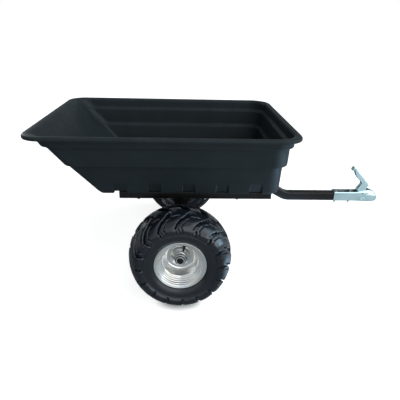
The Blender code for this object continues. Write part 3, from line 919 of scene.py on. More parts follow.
@dataclass(frozen=True)
class TyreRubber(Finish):
    """Moulded rubber: bluish black with a dry bloom, and fine radial ribs low on the side wall."""

    def tint(self, paint: Paint) -> Socket:
        """Returns the colour: soft patches, with a dry bloom on some of them.

        Args:
            paint: The material's nodes.

        Returns:
            The colour's socket.
        """
        base = Finish.tint(self, paint)
        share = paint.math("MAXIMUM", paint.clouds(36.0, -0.4, 0.5), 0.0)
        return paint.mix(share, base, (0.012, 0.016, 0.023, 1.0))

    def relief(self, paint: Paint) -> Socket:
        """Returns the height: skin grain, and ribs that follow the turn about the axle on the side wall.

        Args:
            paint: The material's nodes.

        Returns:
            The height's socket.
        """
        parts = paint.parts(paint.about_axle())
        turn = paint.math("ARCTAN2", parts["X"], parts["Z"])
        ribs = paint.math("SINE", paint.math("MULTIPLY", turn, 220.0))
        radius = paint.off_axis(parts)
        band = paint.math("MULTIPLY", paint.span(radius, 0.124, 0.127), paint.span(radius, 0.150, 0.147))
        standing = paint.math("MULTIPLY", ribs, paint.math("MULTIPLY", band, 0.6))
        return paint.math("ADD", paint.grain(700.0), standing)


@dataclass
class Workshop:
    """Holds the materials and turns surfaces into pieces that ride on their bodies.

    Attributes:
        finishes: The material of each slot.
    """

    finishes: dict[Slot, bpy.types.Material]

    @classmethod
    def open(cls) -> "Workshop":
        """Makes the shared groups and every material.

        Returns:
            The workshop.
        """
        effects = Effects()
        wanted = (
            TubPlastic("moulded_charcoal", Slot.TUB, (0.0192, 0.0262, 0.0305), (0.40, 0.50), 0.0, 0.15,
                       Bump(0.22, 0.0002)),
            BlackCoat("satin_black_coat", Slot.FRAME, (0.0070, 0.0058, 0.0058), (0.22, 0.33), 0.0, 0.30,
                      Bump(0.12, 0.0002)),
            ZincPlate("pale_zinc", Slot.COUPLER, (0.67, 0.84, 0.90), (0.15, 0.23), 1.0, 0.5,
                      Bump(0.08, 0.0002)),
            ZincPlate("bright_zinc", Slot.FASTENER, (0.40, 0.41, 0.42), (0.24, 0.36), 1.0, 0.5,
                      Bump(0.08, 0.0001), (0.36, 0.38, 0.35)),
            GalvanisedRim("galvanised_rim", Slot.RIM, (0.79, 0.83, 0.87), (0.16, 0.24), 1.0, 0.5,
                          Bump(0.03, 0.0002)),
            GroundSteel("ground_steel", Slot.BEARING, (0.80, 0.80, 0.79), (0.20, 0.28), 1.0, 0.5,
                        Bump(0.15, 0.0001)),
            TyreRubber("tyre_rubber", Slot.TYRE, (0.0050, 0.0078, 0.0134), (0.17, 0.27), 0.0, 0.54,
                       Bump(0.25, 0.0003)),
            Finish("valve_rubber", Slot.VALVE, (0.006, 0.006, 0.006), (0.50, 0.60), 0.0, 0.35,
                   Bump(0.15, 0.0002)),
        )
        return cls({finish.slot: finish.build(effects) for finish in wanted})

    def add(self, name: str, surface: Surface, slot: Slot, body: Body, replaces: Sequence[str] = (),
            sharp: float = 38.0, cutters: Sequence[Surface] = ()) -> None:
        """Makes one piece.

        Args:
            name: The piece's name.
            surface: Its shape, drawn from the axle.
            slot: The record's slot that its finish comes from.
            body: What it rides on.
            replaces: The CAD nodes that it stands for.
            sharp: Edges that turn by more than this many degrees stay sharp.
            cutters: Closed surfaces to take out of it.
        """
        piece = meshed(name, surface)
        if cutters:
            carve(piece, cutters)
            piece.data.name = name
        piece.data.transform(Matrix.Translation((AXLE_X, 0.0, 0.0)))
        piece.data.materials.clear()
        piece.data.materials.append(self.finishes[slot])
        piece.data.shade_smooth()
        piece.data.set_sharp_from_angle(angle=math.radians(sharp))
        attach(piece, body.value)
        if replaces:
            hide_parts(*replaces)
        LOG.info("%s: %d faces on %s", name, len(piece.data.polygons), body.value)


# Sub-assemblies


@dataclass
class Tub:
    """The moulded tub: stepped walls, a turned-down rim, and channels pressed up through its floor.

    Attributes:
        front: X of the rim's front edge.
        half_width: Half of the rim's width.
        channel_first: X of the rearmost channel's middle.
        channel_pitch: Distance between channels.
        channel_count: Number of channels.
        channel_half: Half of a channel's width.
        channel_rise: Height of a channel's roof over the floor.
        run_out: Half-width at which a channel's roof begins to climb the wall.
        lean: How far the climbing roof goes out for each metre up.
        edge: Half of the run of a channel's edge.
        press_top: Height above which nothing is pressed.
        station_ends: X of the first and last station that every row has.
        steps: Pieces along half of the front edge, round the front arc to the first station, along the
            side, round the rear arc, and along half of the rear edge.
    """

    front: float = 0.520
    half_width: float = 0.460
    channel_first: float = -0.270
    channel_pitch: float = 0.152
    channel_count: int = 5
    channel_half: float = 0.028
    channel_rise: float = 0.007
    run_out: float = 0.346
    lean: float = 0.52
    edge: float = 0.0020
    press_top: float = 0.60
    station_ends: tuple[float, float] = (0.392, -0.305)
    steps: tuple[int, ...] = (18, 30, 12, 14, 18)

    def outer_levels(self) -> list[tuple[float, ...]]:
        """Height, rear edge, side and front inset, rear and front corner radius, and rounding, outside.

        Returns:
            One row for each level, from the floor up to the lip.
        """
        return [
            (0.4750, -0.3400, 0.1180, 0.0812, 0.012, 0.050, 0.000),
            (0.4750, -0.3572, 0.1040, 0.0690, 0.016, 0.062, 0.003),
            (0.4850, -0.3715, 0.0995, 0.0642, 0.021, 0.065, 0.004),
            (0.6095, -0.4860, 0.0722, 0.0612, 0.029, 0.078, 0.0015),
            (0.6150, -0.5030, 0.0560, 0.0432, 0.050, 0.084, 0.0025),
            (0.6980, -0.5700, 0.0475, 0.0400, 0.045, 0.088, 0.0015),
            (0.7035, -0.5900, 0.0300, 0.0262, 0.065, 0.096, 0.0025),
            (0.7440, -0.6185, 0.0265, 0.0262, 0.070, 0.098, 0.003),
            (0.7455, -0.6540, 0.0060, 0.0060, 0.088, 0.100, 0.0015),
            (0.7375, -0.6550, 0.0050, 0.0050, 0.089, 0.101, 0.001),
            (0.7375, -0.6590, 0.0010, 0.0010, 0.090, 0.102, 0.0015),
            (0.7445, -0.6600, 0.0000, 0.0000, 0.090, 0.102, 0.003),
            (0.7510, -0.6580, 0.0020, 0.0020, 0.089, 0.101, 0.004),
            (TUB_TOP, -0.6520, 0.0080, 0.0080, 0.086, 0.098, 0.004),
        ]

    def inner_levels(self) -> list[tuple[float, ...]]:
        """The same inside, from the mouth down to the floor; the rear is one smooth panel.

        Returns:
            One row for each level.
        """
        return [
            (TUB_TOP, -0.6360, 0.0210, 0.0230, 0.076, 0.096, 0.006),
            (0.7520, -0.6220, 0.0270, 0.0290, 0.070, 0.095, 0.004),
            (0.7430, -0.6064, 0.0308, 0.0312, 0.064, 0.094, 0.005),
            (0.7075, -0.5712, 0.0343, 0.0312, 0.060, 0.092, 0.006),
            (0.6960, -0.5598, 0.0522, 0.0452, 0.041, 0.084, 0.004),
            (0.6195, -0.4841, 0.0602, 0.0480, 0.046, 0.080, 0.006),
            (0.6075, -0.4722, 0.0772, 0.0660, 0.025, 0.074, 0.004),
            (0.4935, -0.3594, 0.1025, 0.0682, 0.020, 0.063, 0.007),
            (0.4845, -0.3505, 0.1075, 0.0732, 0.017, 0.060, 0.006),
            (0.4790, -0.3450, 0.1165, 0.0802, 0.014, 0.057, 0.005),
            (0.4790, -0.3330, 0.1285, 0.0922, 0.011, 0.048, 0.000),
        ]

    def rows(self) -> tuple[Array, Array]:
        """Rounds the levels, and refines the lower wall, where the channels run out.

        Returns:
            Rows of height, rear, the two insets and the two radii, and whether each row is inside.
        """
        levels = np.array(self.outer_levels() + self.inner_levels())
        path = rounded(levels[:, :6], levels[:, 6], 5)
        refined_below, longest, no_limit = 0.61, 0.0090, 1.0
        fine = densified(path, np.where(path[1:, 0] < refined_below, longest, no_limit))
        mouth = int(np.argmax(fine[:, 0] > TUB_TOP - 0.0001))
        return fine, np.arange(len(fine)) > mouth

    def stations(self) -> Array:
        """X places along the floor, close together at the edges of the channels.

        Returns:
            The X places, from front to rear.
        """
        beside = [0.0006, 0.0013, 0.0020, 0.0030, 0.0060]
        near = np.array([-step for step in beside[::-1]] + [0.0] + beside)
        first, last = self.station_ends
        places = [np.array(self.station_ends)]
        for i in range(self.channel_count):
            middle = self.channel_first + self.channel_pitch * i
            half = self.channel_half + TUB_WALL / 2
            places += [middle - half + near, middle + half + near, middle + np.linspace(-0.02, 0.02, 5)]
            if i < self.channel_count - 1:
                places.append(middle + self.channel_pitch / 2 + np.linspace(-0.034, 0.034, 7))
        joined = np.unique(np.round(np.concatenate(places), 5))
        return joined[(joined <= first) & (joined >= last)][::-1]

    def loops(self, rows: Array, stations: Array) -> Array:
        """Draws each row as a rounded plan outline, anticlockwise from the middle of the front.

        Half of the outline is worked out and mirrored. From the front it runs along the front edge,
        round the front arc to the first station, through the stations at fixed X on the side or the
        arc, then along the side, round the rear arc and to the middle of the rear edge.

        Args:
            rows: Height, rear, side and front inset, rear and front radius of each row.
            stations: Fixed X places, from front to rear.

        Returns:
            Rows by points by three.
        """
        height, rear, side, ahead, rear_radius, front_radius = (column[:, None] for column in rows.T)
        front, half = self.front - ahead, self.half_width - side
        centre_x, centre_y = front - front_radius, half - front_radius
        first, last = stations[0], stations[-1]
        front_steps, arc_steps, side_steps, turn_steps, rear_steps = self.steps
        t = np.linspace(0, 1, front_steps, endpoint=False)[None]
        xs, ys = [front + 0 * t], [centre_y * t]
        stop = np.arccos(np.clip((first - centre_x) / front_radius, 0, 1))
        arc_length = front_radius * stop
        straight = np.maximum(centre_x - first, 0)
        t = np.linspace(0, 1, arc_steps, endpoint=False)[None]
        gone = t * (arc_length + straight)
        turn = np.minimum(gone, arc_length) / front_radius
        extra = np.maximum(gone - arc_length, 0)
        xs.append(centre_x + front_radius * np.cos(turn) - extra)
        ys.append(centre_y + front_radius * np.sin(turn))
        beyond = np.clip(stations[None] - centre_x, 0, front_radius)
        xs.append(np.broadcast_to(stations[None], beyond.shape))
        ys.append(centre_y + np.sqrt(front_radius**2 - beyond**2))
        t = np.linspace(0, 1, side_steps + 1)[None, 1:]
        xs.append(last + (rear + rear_radius - last) * t)
        ys.append(half + 0 * t)
        turn = np.linspace(0, math.pi / 2, turn_steps + 1)[None, 1:]
        xs.append(rear + rear_radius - rear_radius * np.sin(turn))
        ys.append(half - rear_radius + rear_radius * np.cos(turn))
        t = np.linspace(0, 1, rear_steps + 1)[None, 1:]
        xs.append(rear + 0 * t)
        ys.append((half - rear_radius) * (1 - t))
        x, y = np.concatenate(xs, axis=1), np.concatenate(ys, axis=1)
        x = np.concatenate([x, x[:, -2:0:-1]], axis=1)
        y = np.concatenate([y, -y[:, -2:0:-1]], axis=1)
        return np.stack([x, y, np.broadcast_to(height, x.shape)], axis=-1)

    def pressed(self, points: Array, inside: Array) -> Array:
        """Lifts points under a channel up to its roof.

        In a channel's band the height becomes the larger of the point's own and the roof's. The roof
        is flat to run_out and then climbs outwards, and the band's edges are smooth steps in X. On the
        inner face the roof lies a wall's thickness w higher, and its flat part ends 0.53 w further in.

        Args:
            points: Points by three, in any grid.
            inside: Whether each point is on the inner face, in the same grid.

        Returns:
            The lifted points.
        """
        grow = np.where(inside, TUB_WALL, 0.0)
        x, y, z = points[..., 0], np.abs(points[..., 1]), points[..., 2]
        foot = self.run_out - grow * 0.53
        roof = TUB_FLOOR + self.channel_rise + grow + np.maximum(y - foot, 0) / self.lean
        nearest = self.channel_first + self.channel_pitch * np.clip(
            np.round((x - self.channel_first) / self.channel_pitch), 0, self.channel_count - 1)
        half = self.channel_half + grow
        share = 1 - smooth_step(np.abs(x - nearest) - half, -self.edge, self.edge)
        lifted = points.copy()
        lifted[..., 2] = z + share * np.maximum(roof - z, 0) * (z < self.press_top)
        return lifted

    def surface(self) -> Surface:
        """Closes the shell: walls from one grid, each floor a ribbon of lines across with two end faces.

        Returns:
            The shell.
        """
        rows, inside = self.rows()
        stations = self.stations()
        loops = self.loops(rows, stations)
        count = loops.shape[1]
        loops = self.pressed(loops, np.broadcast_to(inside[:, None], loops.shape[:2]))
        number = np.arange(loops.shape[0] * count).reshape(-1, count)
        lower, upper = number[:-1], number[1:]
        quads = np.stack([lower, np.roll(lower, -1, 1), np.roll(upper, -1, 1), upper], axis=-1)
        faces = quads.reshape(-1, 4).tolist()
        points = [loops.reshape(-1, 3)]
        total = len(points[0])
        left = sum(self.steps[:2]) + np.arange(len(stations))
        right = count - left
        across = 14
        for row, upward in ((0, False), (-1, True)):
            edge = loops[row]
            t = (np.arange(1, across) / across)[None]
            x = np.repeat(edge[left, 0][:, None], across - 1, axis=1)
            y = edge[left, 1][:, None] * (1 - 2 * t)
            z = np.full_like(x, rows[row, 0])
            inner = self.pressed(np.stack([x, y, z], axis=-1), np.full(x.shape, upward))
            fresh = total + np.arange(inner.shape[0] * inner.shape[1]).reshape(inner.shape[:2])
            total += fresh.size
            points.append(inner.reshape(-1, 3))
            grid = np.concatenate([number[row, left][:, None], fresh, number[row, right][:, None]], axis=1)
            patch = np.stack([grid[:-1, :-1], grid[:-1, 1:], grid[1:, 1:], grid[1:, :-1]], axis=-1)
            patch = patch.reshape(-1, 4)
            faces += (patch[:, ::-1] if upward else patch).tolist()
            loop = number[row].tolist()
            front_end = loop[right[0]:] + loop[:left[0] + 1] + grid[0, 1:-1].tolist()
            rear_end = loop[left[-1]:right[-1] + 1] + grid[-1, 1:-1][::-1].tolist()
            faces += [end if upward else end[::-1] for end in (front_end, rear_end)]
        return Surface(np.concatenate(points), faces).outward()

    def build(self, shop: Workshop) -> None:
        """Adds the tub to the tipping body."""
        shop.add("tub_shell", self.surface(), Slot.TUB, Body.TIPPING, ["tub"], sharp=60.0)


@dataclass
class Tyre:
    """A lugged low-pressure tyre.

    Attributes:
        lugs: Lugs on each side.
        stagger: Share of a pitch that each side is moved from the crown.
    """

    lugs: int = 16
    stagger: float = 0.25

    def half_levels(self) -> list[tuple[float, ...]]:
        """Void (y, radius), lug (y, radius), way along the tread, and rounding, from crown to inside.

        From the foot of the lugs on, void and lug are one, and a row names the point once.

        Returns:
            One row for each point of the half section.
        """
        lugged = [
            (0.0000, 0.2125, 0.0000, 0.2125, 0.0000, 0.000),
            (0.0070, 0.2125, 0.0072, 0.2127, 0.0070, 0.002),
            (0.0095, 0.2125, 0.0108, 0.2268, 0.0100, 0.002),
            (0.0120, 0.2122, 0.0135, 0.2285, 0.0125, 0.003),
            (0.0480, 0.2080, 0.0500, 0.2230, 0.0490, 0.020),
            (0.0840, 0.1962, 0.0870, 0.2100, 0.0870, 0.020),
            (0.1040, 0.1835, 0.1100, 0.1960, 0.1105, 0.010),
            (0.1110, 0.1710, 0.1205, 0.1830, 0.1250, 0.008),
            (0.1124, 0.1650, 0.1195, 0.1700, 0.1320, 0.005),
            (0.1126, 0.1605, 0.1160, 0.1615, 0.1365, 0.002),
            (0.1127, 0.1592, 0.1132, 0.1592, 0.1380, 0.001),
        ]
        plain = [
            (0.1125, 0.1580, 0.1390, 0.001), (0.1138, 0.1570, 0.1400, 0.001), (0.1136, 0.1552, 0.1410, 0.001),
            (0.1120, 0.1540, 0.1420, 0.002), (0.1085, 0.1370, 0.1430, 0.010), (0.1036, 0.1255, 0.1450, 0.003),
            (0.0990, 0.1200, 0.1470, 0.004), (0.0978, 0.1168, 0.1480, 0.002), (0.0895, 0.1155, 0.1490, 0.001),
            (0.0895, 0.1026, 0.1500, 0.001), (0.0750, 0.1026, 0.1510, 0.002), (0.0800, 0.1860, 0.1520, 0.010),
        ]
        return lugged + [(y, radius, y, radius, way, bend) for y, radius, way, bend in plain]

    def lean(self, way: Array) -> Array:
        """Share of a pitch that a lug stands forward at a signed way from the crown: steep, then radial.

        Args:
            way: Signed way from the crown.

        Returns:
            The share of a pitch.
        """
        knots = [0, 0.010, 0.030, 0.052, 0.070, 0.092, 0.104, 0.110, 0.1145, 0.119, 0.140]
        turns = [0, 0, -0.20, -0.50, -0.72, -0.93, -1.00, -1.045, -1.06, -0.985, -1.01]
        return self.stagger * np.clip(way / 0.010, -1, 1) + np.interp(np.abs(way), knots, turns)

    def section(self) -> Array:
        """The whole section, mirrored about the crown: void y, r, lug y, r and way.

        Rows are added where the grooves along the tread and the steps of the flanks lie.

        Returns:
            One row for each point.
        """
        levels = np.array(self.half_levels())
        path = rounded(levels[:, :5], levels[:, 5], 2)
        half = densified(path, np.where(path[1:, 4] < 0.127, 0.0062, 1.0))
        steps = [np.arange(0.0395, 0.0445, 0.0012), [0.0665, 0.068, 0.0695, 0.071]]
        groove = np.arange(0.0480, 0.0600, 0.0015)
        ways = np.unique(np.round(np.concatenate([half[:, 4], groove, *steps]), 5))
        half = np.stack([np.interp(ways, half[:, 4], column) for column in half.T], axis=1)
        other = half[:0:-1] * np.array([-1, 1, -1, 1, -1])
        return np.concatenate([half, other])

    def edges(self, way: Array) -> tuple[Array, Array]:
        """Where a lug's two flanks stand, as shares of the pitch.

        The gap g between lugs narrows from the crown to the shoulder. Both flanks step sideways by j
        and back again: front = 0.05 + j, back = front + 1 - g.

        Args:
            way: Way from the crown, on either side.

        Returns:
            The front and the back flank.
        """
        ways, gaps = [0.012, 0.035, 0.060, 0.080, 0.120, 0.140], [0.36, 0.29, 0.20, 0.15, 0.14, 0.13]
        gap = np.interp(way, ways, gaps)
        jog = 0.050 * (smooth_step(way, 0.040, 0.044) - smooth_step(way, 0.067, 0.071))
        front = 0.05 + jog
        return front, front + 1 - gap

    def cuts(self, way: Array, across: Array) -> Array:
        """How far shallow grooves take a lug's face down, as a share of its height.

        One runs across the shoulder at 0.22 of the lug's width, and one follows the tread's edge as a
        wave over 0.65 of the width. Each has the form exp(-(d / w)^2) of the distance d from its line.

        Args:
            way: Way from the crown, on either side.
            across: Place across the lug, 0 to 1.

        Returns:
            The share of the lug's height.
        """
        line = np.exp(-(((across - 0.22) / 0.022) ** 2)) * smooth_step(way, 0.066, 0.076)
        line = line * smooth_step(0.1320 - way, 0, 0.006)
        wave = 0.0535 + 0.0030 * np.sin(across * 9.0)
        rim = np.exp(-(((way - wave) / 0.0019) ** 2)) * smooth_step(0.68 - across, 0, 0.06)
        return 0.42 * line + 0.62 * rim

    def surface(self, side: int) -> Surface:
        """Closes the tyre as a ring of rows.

        Column k of a lug has a share s of the pitch and a height h. A row's point is its void point
        plus h times the way to its lug point, turned about the axle by the lug's number, s and the
        row's lean.

        Args:
            side: 1 for the left wheel, -1 for the right.

        Returns:
            The closed surface about the axle's middle, already in place.
        """
        rows = self.section()
        way = np.abs(rows[:, 4:5])
        front, back = self.edges(way)
        rise = np.array([[0.0, 0.15, 0.4, 0.7, 0.9]])
        steep, easy = 0.030, 0.075
        across = np.array([[0, 0.165, 0.195, 0.21, 0.22, 0.23, 0.245, 0.275, 0.40, 0.52, 0.64, 0.70, 1]])
        void = np.linspace(0, 1, 5)[None, 1:-1]
        climb, fall = smooth_step(rise, -0.05, 1.0), smooth_step(rise[:, ::-1], -0.05, 1.0)
        share = np.concatenate([
            front + steep * rise,
            (front + steep) + (back - front - steep - easy) * across,
            back - easy * rise[:, ::-1],
            back + (1 + front - back) * void,
        ], axis=1)
        level = np.ones_like(way)
        raised = [level * climb, 1 - self.cuts(way, across), level * fall, level * 0 * void]
        height = np.concatenate(raised, axis=1)
        pitch = math.tau / self.lugs
        foot_share, foot_way = 0.12, np.array([0.010])
        straight_down = math.pi - pitch * (foot_share + float(self.lean(foot_way)[0]))
        lug = np.repeat(np.arange(self.lugs), share.shape[1])[None]
        share, height = np.tile(share, (1, self.lugs)), np.tile(height, (1, self.lugs))
        turn = straight_down + pitch * (lug + share + self.lean(rows[:, 4])[:, None])
        y = rows[:, :1] + height * (rows[:, 2:3] - rows[:, :1])
        radius = rows[:, 1:2] + height * (rows[:, 3:4] - rows[:, 1:2])
        middle = side * TRACK / 2
        z = WHEEL_RADIUS + radius * np.cos(turn)
        return stacked(np.stack([radius * np.sin(turn), middle + side * y, z], axis=-1), ring=True)


@dataclass
class Wheel:
    """One wheel: tyre, rim with its hub, bearings and valve.

    Attributes:
        side: left or right.
        tyre: The tyre's shape.
    """

    side: str
    tyre: Tyre

    def way(self) -> Way:
        """The direction that points out of the wheel."""
        return Way(self.side)

    def rim(self) -> Surface:
        """The pressed rim: rolled flange, stepped bead seat, drop centre, dished disc and hub tube.

        Returns:
            The rim.
        """
        front = [
            (0.0275, 0.0045), (0.0300, 0.0030), (0.0330, 0.0036), (0.0465, 0.0100), (0.0480, 0.0098),
            (0.0500, 0.0085), (0.0600, 0.0095), (0.0650, 0.0128), (0.0680, 0.0200), (0.0742, 0.0480),
            (0.0752, 0.0515), (0.0770, 0.0545), (0.0796, 0.0566), (0.0812, 0.0600), (0.0862, 0.0616),
            (0.0872, 0.0668), (0.0915, 0.0682), (0.0925, 0.0740), (0.0958, 0.0752), (0.0970, 0.0838),
            (0.0995, 0.0852), (0.1003, 0.0918),
            (0.1045, 0.0932), (0.1052, 0.0948), (0.1095, 0.0958), (0.1112, 0.0968), (0.1132, 0.0970),
            (0.1145, 0.0955),
        ]
        back = [
            (0.1145, 0.0905), (0.1018, 0.0905), (0.1018, 0.0690), (0.0835, 0.0570), (0.0835, -0.0570),
            (0.1018, -0.0690), (0.1018, -0.0905), (0.1145, -0.0905), (0.1145, -0.0960), (0.1132, -0.0970),
            (0.1105, -0.0966), (0.1060, -0.0945), (0.0988, -0.0925), (0.0980, -0.0720), (0.0805, -0.0585),
            (0.0805, 0.0200), (0.0690, 0.0080), (0.0480, 0.0040), (0.0360, -0.0020), (0.0220, -0.0020),
            (0.0220, -0.052), (0.0176, -0.052), (0.0176, 0.052), (0.0190, 0.052), (0.0190, 0.0420),
            (0.0225, 0.0420), (0.0225, 0.0500), (0.0252, 0.0500), (0.0256, 0.0400), (0.0225, 0.0385),
            (0.0225, 0.0260), (0.0270, 0.0240),
        ]
        profile = rounded(front + back, 0.0013, 3, closed=True)
        return revolved(profile, 180, ring=True)

    def bearing(self) -> Surface:
        """A flanged bearing: outer ring, recessed seal and inner ring.

        Returns:
            The bearing.
        """
        mouth = HUB_REACH + GAP
        section = [
            (0.0128, mouth - 0.012), (0.0170, mouth - 0.012), (0.0170, mouth), (0.0196, mouth),
            (0.0196, mouth + 0.0016), (0.0178, mouth + 0.0016), (0.0175, mouth + 0.0010),
            (0.0155, mouth + 0.0010), (0.0152, mouth + 0.0016), (0.0128, mouth + 0.0016),
        ]
        return revolved(rounded(section, 0.0004, 2, closed=True), 96, ring=True)

    def shade_rings(self) -> Surface:
        """Black rings about the hub tube that paint shade: one round the bearing and two in the tube's necks,
        at its dark lines.

        Returns:
            The three rings.
        """
        # Painted shade: each black ring sits where the hub shows a dark line of shade.
        sizes = ((0.0192, 0.0224, 0.0430, 0.0508), (0.0226, 0.0263, 0.0378, 0.0390),
                 (0.0226, 0.0282, 0.0234, 0.0246))
        return together([washer(*size, 0.0004, 72) for size in sizes])

    def valve(self) -> Surface:
        """The valve: a rubber foot and stem with a ribbed cap, leaning in to the hub.

        Returns:
            The valve.
        """
        stem = [(0.0085, 0), (0.0085, 0.003), (0.0060, 0.0075), (0.0052, 0.012), (0.0050, 0.0205),
                (0.0042, 0.0212), (0.0042, 0.0222), (0.0050, 0.0228), (0.0050, 0.0280), (0.0040, 0.0290)]
        surface = revolved(densified(rounded(stem, 0.0006, 2), 0.002), 40)
        points = surface.points
        turn = np.arctan2(points[:, 1], points[:, 0])
        cap_foot, cap_top = 0.0226, 0.0284
        ribs = 1 - 0.07 * (np.sin(turn * 10) > 0) * (points[:, 2] > cap_foot) * (points[:, 2] < cap_top)
        surface.points[:, :2] *= ribs[:, None]
        sign = SIDES[self.side]
        lean = math.radians(14)
        root = 0.0775
        inward = Vector((-math.sin(lean), sign * math.cos(lean), 0.106))
        turned = np.array(inward.to_track_quat("Z", "Y").to_matrix())
        surface.points = points @ turned.T + (root * math.sin(lean), -sign * root * math.cos(lean), 0.0480)
        return surface

    def build(self, shop: Workshop) -> None:
        """Adds the wheel's pieces to its body.

        Args:
            shop: The workshop.
        """
        sign = SIDES[self.side]
        body = Body(f"{self.side}_wheel")
        hub = (0.0, sign * TRACK / 2, WHEEL_RADIUS)
        inward = Way.RIGHT if self.side == "left" else Way.LEFT
        shop.add(f"{self.side}_lugged_tyre", self.tyre.surface(sign), Slot.TYRE, body, [f"{self.side}_tyre"])
        shop.add(f"{self.side}_pressed_rim", pointed(self.rim(), self.way(), hub), Slot.RIM, body,
                 [f"{self.side}_rim"])
        for name, way in (("outer", self.way()), ("inner", inward)):
            shop.add(f"{self.side}_{name}_flange_bearing", pointed(self.bearing(), way, hub), Slot.BEARING,
                     body, [f"{self.side}_{name}_bearing"])
        shop.add(f"{self.side}_tyre_valve", pointed(self.valve(), self.way(), hub), Slot.VALVE, body,
                 [f"{self.side}_valve"])
        # Painted shade: black rings put into the hub's shaded lines.
        shop.add(f"{self.side}_hub_shade_rings", pointed(self.shade_rings(), self.way(), hub), Slot.VALVE, body)


@dataclass
class Bolt:
    """A hexagon bolt and its nut.

    Attributes:
        across_flats: Size of head and nut.
        head: Height of the head.
        radius: Radius of the shank.
        length: Length of the shank under the head.
        nut: Height of the nut.
    """

    across_flats: float
    head: float
    radius: float
    length: float
    nut: float = 0.0

    def screw(self) -> Surface:
        """The bolt with its head standing on Z = 0 and its shank running down into a thread.

        Returns:
            The bolt.
        """
        head = hexagonal(self.across_flats, 0, self.head)[::-1]
        sides = head.shape[1]
        washer_face = circled(np.array([self.across_flats * 0.46, self.radius]), np.zeros(2), sides)
        thread_from = -max(self.length - 0.022, self.length * 0.3)
        thread = threaded(self.radius, thread_from, -self.length, sides)
        return stacked(np.concatenate([head, washer_face, thread]))

    def nut_surface(self) -> Surface:
        """The nut standing on Z = 0, with chamfered corners and bore.

        Returns:
            The nut.
        """
        outside = hexagonal(self.across_flats, 0, self.nut)
        bore, chamfer = self.radius + 0.0004, 0.0008
        radii = np.array([bore + chamfer, bore, bore, bore + chamfer])
        heights = np.array([self.nut, self.nut - chamfer, chamfer, 0.0])
        inside = circled(radii, heights, outside.shape[1])
        return stacked(np.concatenate([outside, inside]), ring=True)


